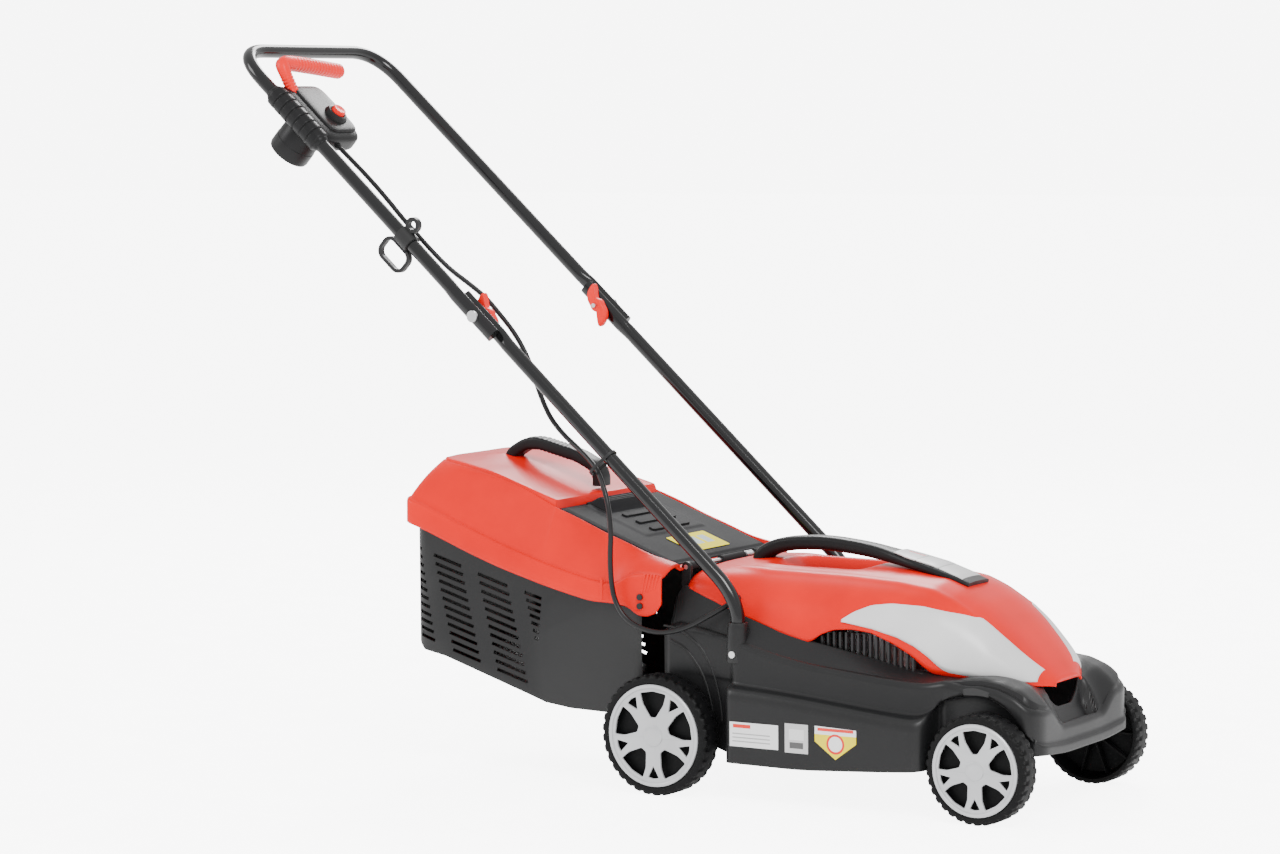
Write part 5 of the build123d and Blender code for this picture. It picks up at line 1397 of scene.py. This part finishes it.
# ---- grass box ------------------------------------------------------------------------
@dataclass
class GrassBox:
    """The lid over the basket, its ear ribs and its carrying handle.

    Each row of stations holds the rim's place, the ridge's place, the middle line's place and
    the heights of the rim, the band's top, the ridge and the surface inside the ridge.
    """

    stations: tuple[tuple[float, ...], ...] = (
        (-4, 172, 2, 134, 2, 0, 250, 287, 299, 293),
        (-12, 172, -6, 134, -6, 0, 238, 289, 302, 296),
        (-24, 172, -18, 134, -18, 0, 232.5, 290, 305, 298),
        (-40, 172, -38, 134, -38, 0, 233, 290, 309.5, 303),
        (-56, 172, -54, 134, -54, 0, 244.5, 287, 315, 308),
        (-80, 172, -80, 134, -80, 0, 247.5, 273, 325, 318),
        (-114, 172, -112, 134, -112, 0, 248, 276, 336, 330.5),
        (-161, 172, -158, 134, -158, 0, 258.5, 287, 355, 348),
        (-193, 172, -190, 134, -190, 0, 266.5, 296, 366, 359.5),
        (-196.5, 172, -193.5, 133.4, -193.5, 0, 267.5, 297, 367.3, 375.5),
        (-257, 172, -250, 126, -250, 0, 284.5, 316, 390, 393),
        (-305, 172, -300, 120, -290, 0, 301, 334, 404, 408),
        (-380, 172, -362, 112, -330, 0, 330, 363, 416, 419),
        (-415.5, 171, -396, 104, -345, 0, 341, 374, 420, 423),
        (-415.5, 90, -402, 60, -350, 0, 342, 375, 421, 424),
        (-415.5, 0, -402, 0, -352, 0, 342, 375, 421, 424),
    )
    reach: tuple[float, ...] = (0, 4, 6, 7, 8, 12, 15, 15, 0.5, 0.5, 20, 20, 14, 15, 20, 0)
    wall: float = 3.0

    def lid(self) -> Piece:
        """The lid's skin: rim band, leaning sides, ridge and top, with the flap's sunk bed."""
        right = np.array(self.stations, float)
        right[:, [1, 3]] *= -1
        rows = soften(mirrored(right, [1, 3, 5]), np.array(self.reach + self.reach[-2::-1]), 6.0)
        rim, ridge, spine = rows[:, 0:2], rows[:, 2:4], rows[:, 4:6]
        low, band, top, inside = rows[:, 6:].T
        away = ridge - rim
        span = np.linalg.norm(away, axis=1)[:, None]
        away = away / span
        levels = [np.column_stack([rim, low]), np.column_stack([rim, low + 3])]
        for inset, share in ((0.4, 0.86), (1.4, 0.95), (3.4, 0.99), (7.0, 1.0)):
            levels.append(np.column_stack([rim + away * inset, low + (band - low) * share]))
        for share in np.linspace(0, 1, 12)[1:]:
            place = rim + away * (7.0 + (span - 7.0) * share)
            arch = np.sin(math.pi * share) * 3.0
            levels.append(np.column_stack([place, band + (top - band) * share**0.94 + arch]))
        inward = spine - ridge
        reach = np.maximum(np.linalg.norm(inward, axis=1)[:, None], 1e-6)
        inward = inward / reach
        for inset, share in ((1.5, 0.02), (3.0, 0.12), (3.6, 0.9), (4.4, 1.0)):
            levels.append(np.column_stack([ridge + inward * inset, top + (inside - top) * share]))
        for share in np.linspace(0, 1, 18)[1:]:
            levels.append(np.column_stack([ridge + inward * (4.4 + (reach - 4.4) * share), inside]))
        return sheet_piece("lid_shell", np.array(levels), wall=self.wall, sharp=48)

    def ears(self) -> list[Piece]:
        """Leaning louvre ribs on the lid's front corners and the step ribs behind them."""
        made = []
        for name, side in SIDES:
            axes = Axes((0, side * 171.6, 0), x=(1, 0, 0), y=(0, 0, 1), z=(0, side, 0))
            for k in range(5):
                x = -35 + 5.0 * k
                lean = np.array([(x, 262 + 2 * k), (x + 2, 262 + 2 * k), (x + 8.2, 289), (x + 5.2, 289)])
                made.append(plate(f"ear_rib_{name}_{k}", lean, -1.6, 0.9, axes, 0.4))
            for k, x in enumerate((-98, -82)):
                step = np.array([(x, 252), (x + 4, 250.5), (x + 4, 279), (x, 280)])
                made.append(plate(f"ear_step_{name}_{k}", step, -1.6, 0.9, axes, 0.4))
        return made

    def grip(self) -> Piece:
        """The arched carrying handle with finger ribs on its crown."""
        knots = np.array(
            [(-350, 406), (-342, 425), (-319, 438), (-298, 439.5), (-235, 424), (-208, 411), (-201, 398),
             (-201, 384)], float
        )
        rows = soften(knots, np.array([0, 8, 9, 9, 12, 8, 6, 0]), 2.0)
        path = np.column_stack([rows[:, 0], np.zeros(len(rows)), rows[:, 1]])
        along = np.concatenate([[0], np.cumsum(np.linalg.norm(np.diff(path, axis=0), axis=1))])
        ribs = 0.8 * smooth_step(np.sin(along * math.tau / 6.5), 0.1, 0.6) * bump(along, 46, 126, 8)
        return swept("box_grip", path, np.full(len(path), 13.5), 8.4 + ribs, (0, 0, 1), square=5.0, count=40)

    def build(self) -> None:
        """Makes the box's pieces and dresses them."""
        settle(self.lid(), Body.BOX, COVER_RED, ("box_lid",))
        for piece in self.ears():
            settle(piece, Body.BOX, COVER_RED)
        settle(self.grip(), Body.BOX, GRIP_BLACK, ("box_handle",))


# ---- kept CAD pieces ------------------------------------------------------------------
KEPT: dict[Finish, tuple[str, ...]] = {
    BASKET_BLACK: ("box_basket", "vent_grille_right", "vent_grille_left", "fan_impeller", "capacitor"),
    GRIP_BLACK: ("cable_hook", "cable_tie", "box_pins", "micro_switch", "blade_holder"),
    STEEL: ("socket_screws", "cover_screws", "fold_bolts", "switch_box_screws", "front_push_nuts", "rear_push_nuts",
            "front_axle", "rear_axle", "lever_pin", "flap_pin", "flap_spring", "motor_bearings", "motor_shaft",
            "blade_bolt"),
    BLADE_STEEL: ("cutting_blade",),
    IRON: ("motor_stator", "rotor_core"),
    ALLOY: ("motor_brackets",),
    BRASS: ("inlet_pins",),
    SHEATH_BLACK: ("lead_sleeve",),
    SKIRT_PRINT: ("skirt_labels",),
    FLAP_PRINT: ("flap_label",),
}


def dress_kept() -> None:
    """Gives each CAD piece that stays its finish."""
    for finish, names in KEPT.items():
        for name in names:
            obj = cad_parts[name]
            obj.data.materials.clear()
            obj.data.materials.append(finish.material())


# ---- studio ---------------------------------------------------------------------------
@dataclass
class Studio:
    """Pale floor, soft light and the camera.

    Args:
        eye: the camera's place in millimetres from the rear axle's line on the ground.
        heading: degrees turned from looking along +Y.
        dip: degrees that the view looks down.
        roll: degrees that the picture leans.
        lens: focal length in millimetres for a 36 mm sensor.
    """

    eye: Triple = (2582.4, -4476.6, 904.0)
    heading: float = 31.29
    dip: float = 4.77
    roll: float = -0.47
    lens: float = 108.03

    def camera(self) -> None:
        """Places the camera."""
        turn, down, lean = (math.radians(v) for v in (self.heading, self.dip, self.roll))
        ahead = Vector((-math.sin(turn) * math.cos(down), math.cos(turn) * math.cos(down), -math.sin(down)))
        right = Vector((math.cos(turn), math.sin(turn), 0))
        above = right.cross(ahead)
        right, above = (right * math.cos(lean) + above * math.sin(lean),
                        above * math.cos(lean) - right * math.sin(lean))
        data = bpy.data.cameras.new("camera")
        data.lens = self.lens
        data.sensor_width = 36.0
        data.clip_end = 100
        holder = bpy.data.objects.new("camera", data)
        place = Vector(self.eye) * MM + Vector((REAR_AXLE_X * MM, 0, 0))
        rotation = Matrix((right, above, -ahead)).transposed().to_4x4()
        holder.matrix_world = Matrix.Translation(place) @ rotation
        bpy.context.scene.collection.objects.link(holder)
        bpy.context.scene.camera = holder

    def floor(self) -> None:
        """A wide pale floor, faintly mottled."""
        size = 30000.0
        ends = np.array([(-size, -size, 0), (size, -size, 0), (size, size, 0), (-size, size, 0)])
        obj = make_mesh("studio_floor", ends, [[0, 1, 2, 3]], recalc=False)
        paint = Finish("floor_paint", (0.97, 0.97, 0.97), (0.98, 0.98, 0.98), rough=0.6, spread=0.05, wear=0.0,
                       grain_scale=60, grain_depth=0.0)
        made = paint.material()
        shader = made.node_tree.nodes["Principled BSDF"]
        shader.inputs["Emission Color"].default_value = (1, 1, 1, 1)
        path = node(made.node_tree, "ShaderNodeLightPath")
        glow = node(made.node_tree, "ShaderNodeMath", operation="MULTIPLY_ADD")
        glow.inputs[1].default_value = 6.0
        glow.inputs[2].default_value = 0.5
        made.node_tree.links.new(path.outputs["Is Camera Ray"], glow.inputs[0])
        made.node_tree.links.new(glow.outputs[0], shader.inputs["Emission Strength"])
        obj.data.materials.append(made)

    def lights(self) -> None:
        """An even white sky and three large soft lamps."""
        world = bpy.data.worlds.new("sky")
        world.use_nodes = True
        tree = world.node_tree
        sky = tree.nodes["Background"]
        sky.inputs[0].default_value = (1, 1, 1, 1)
        sky.inputs[1].default_value = 1.3
        seen = node(tree, "ShaderNodeBackground", Strength=7.5)
        seen.inputs[0].default_value = (1, 1, 1, 1)
        path = node(tree, "ShaderNodeLightPath")
        mix = node(tree, "ShaderNodeMixShader")
        tree.links.new(path.outputs["Is Camera Ray"], mix.inputs[0])
        tree.links.new(sky.outputs[0], mix.inputs[1])
        tree.links.new(seen.outputs[0], mix.inputs[2])
        tree.links.new(mix.outputs[0], tree.nodes["World Output"].inputs[0])
        bpy.context.scene.world = world
        for name, place, size, power in (
            ("key", (2.4, -2.2, 3.4), 1.6, 150.0),
            ("fill", (-2.8, -2.2, 2.2), 1.4, 50.0),
            ("back", (-1.2, 3.0, 2.8), 1.4, 110.0),
        ):
            data = bpy.data.lights.new(name, "AREA")
            data.size = size
            data.energy = power
            lamp = bpy.data.objects.new(name, data)
            direction = Vector((0, 0, 0.35)) - Vector(place)
            turn = direction.to_track_quat("-Z", "Y").to_matrix().to_4x4()
            lamp.matrix_world = Matrix.Translation(place) @ turn
            bpy.context.scene.collection.objects.link(lamp)

    def build(self) -> None:
        """Makes the camera, floor and lights."""
        self.camera()
        self.floor()
        self.lights()


def main() -> None:
    """Builds the studio, the lead and then each sub-assembly."""
    Studio().build()
    Lead().build()
    Deck().build()
    Cover().build()
    for end, radius, face, centre in (
        ("front", 70.0, 192.7, (464.0, 70.0)), ("rear", 80.0, 203.4, (0.0, 80.0)),
    ):
        for name, side in SIDES:
            Wheel(end, name, side, radius, face, centre).build()
    Handle().build()
    Flap().build()
    GrassBox().build()
    dress_kept()


if __name__ == "__main__":
    main()
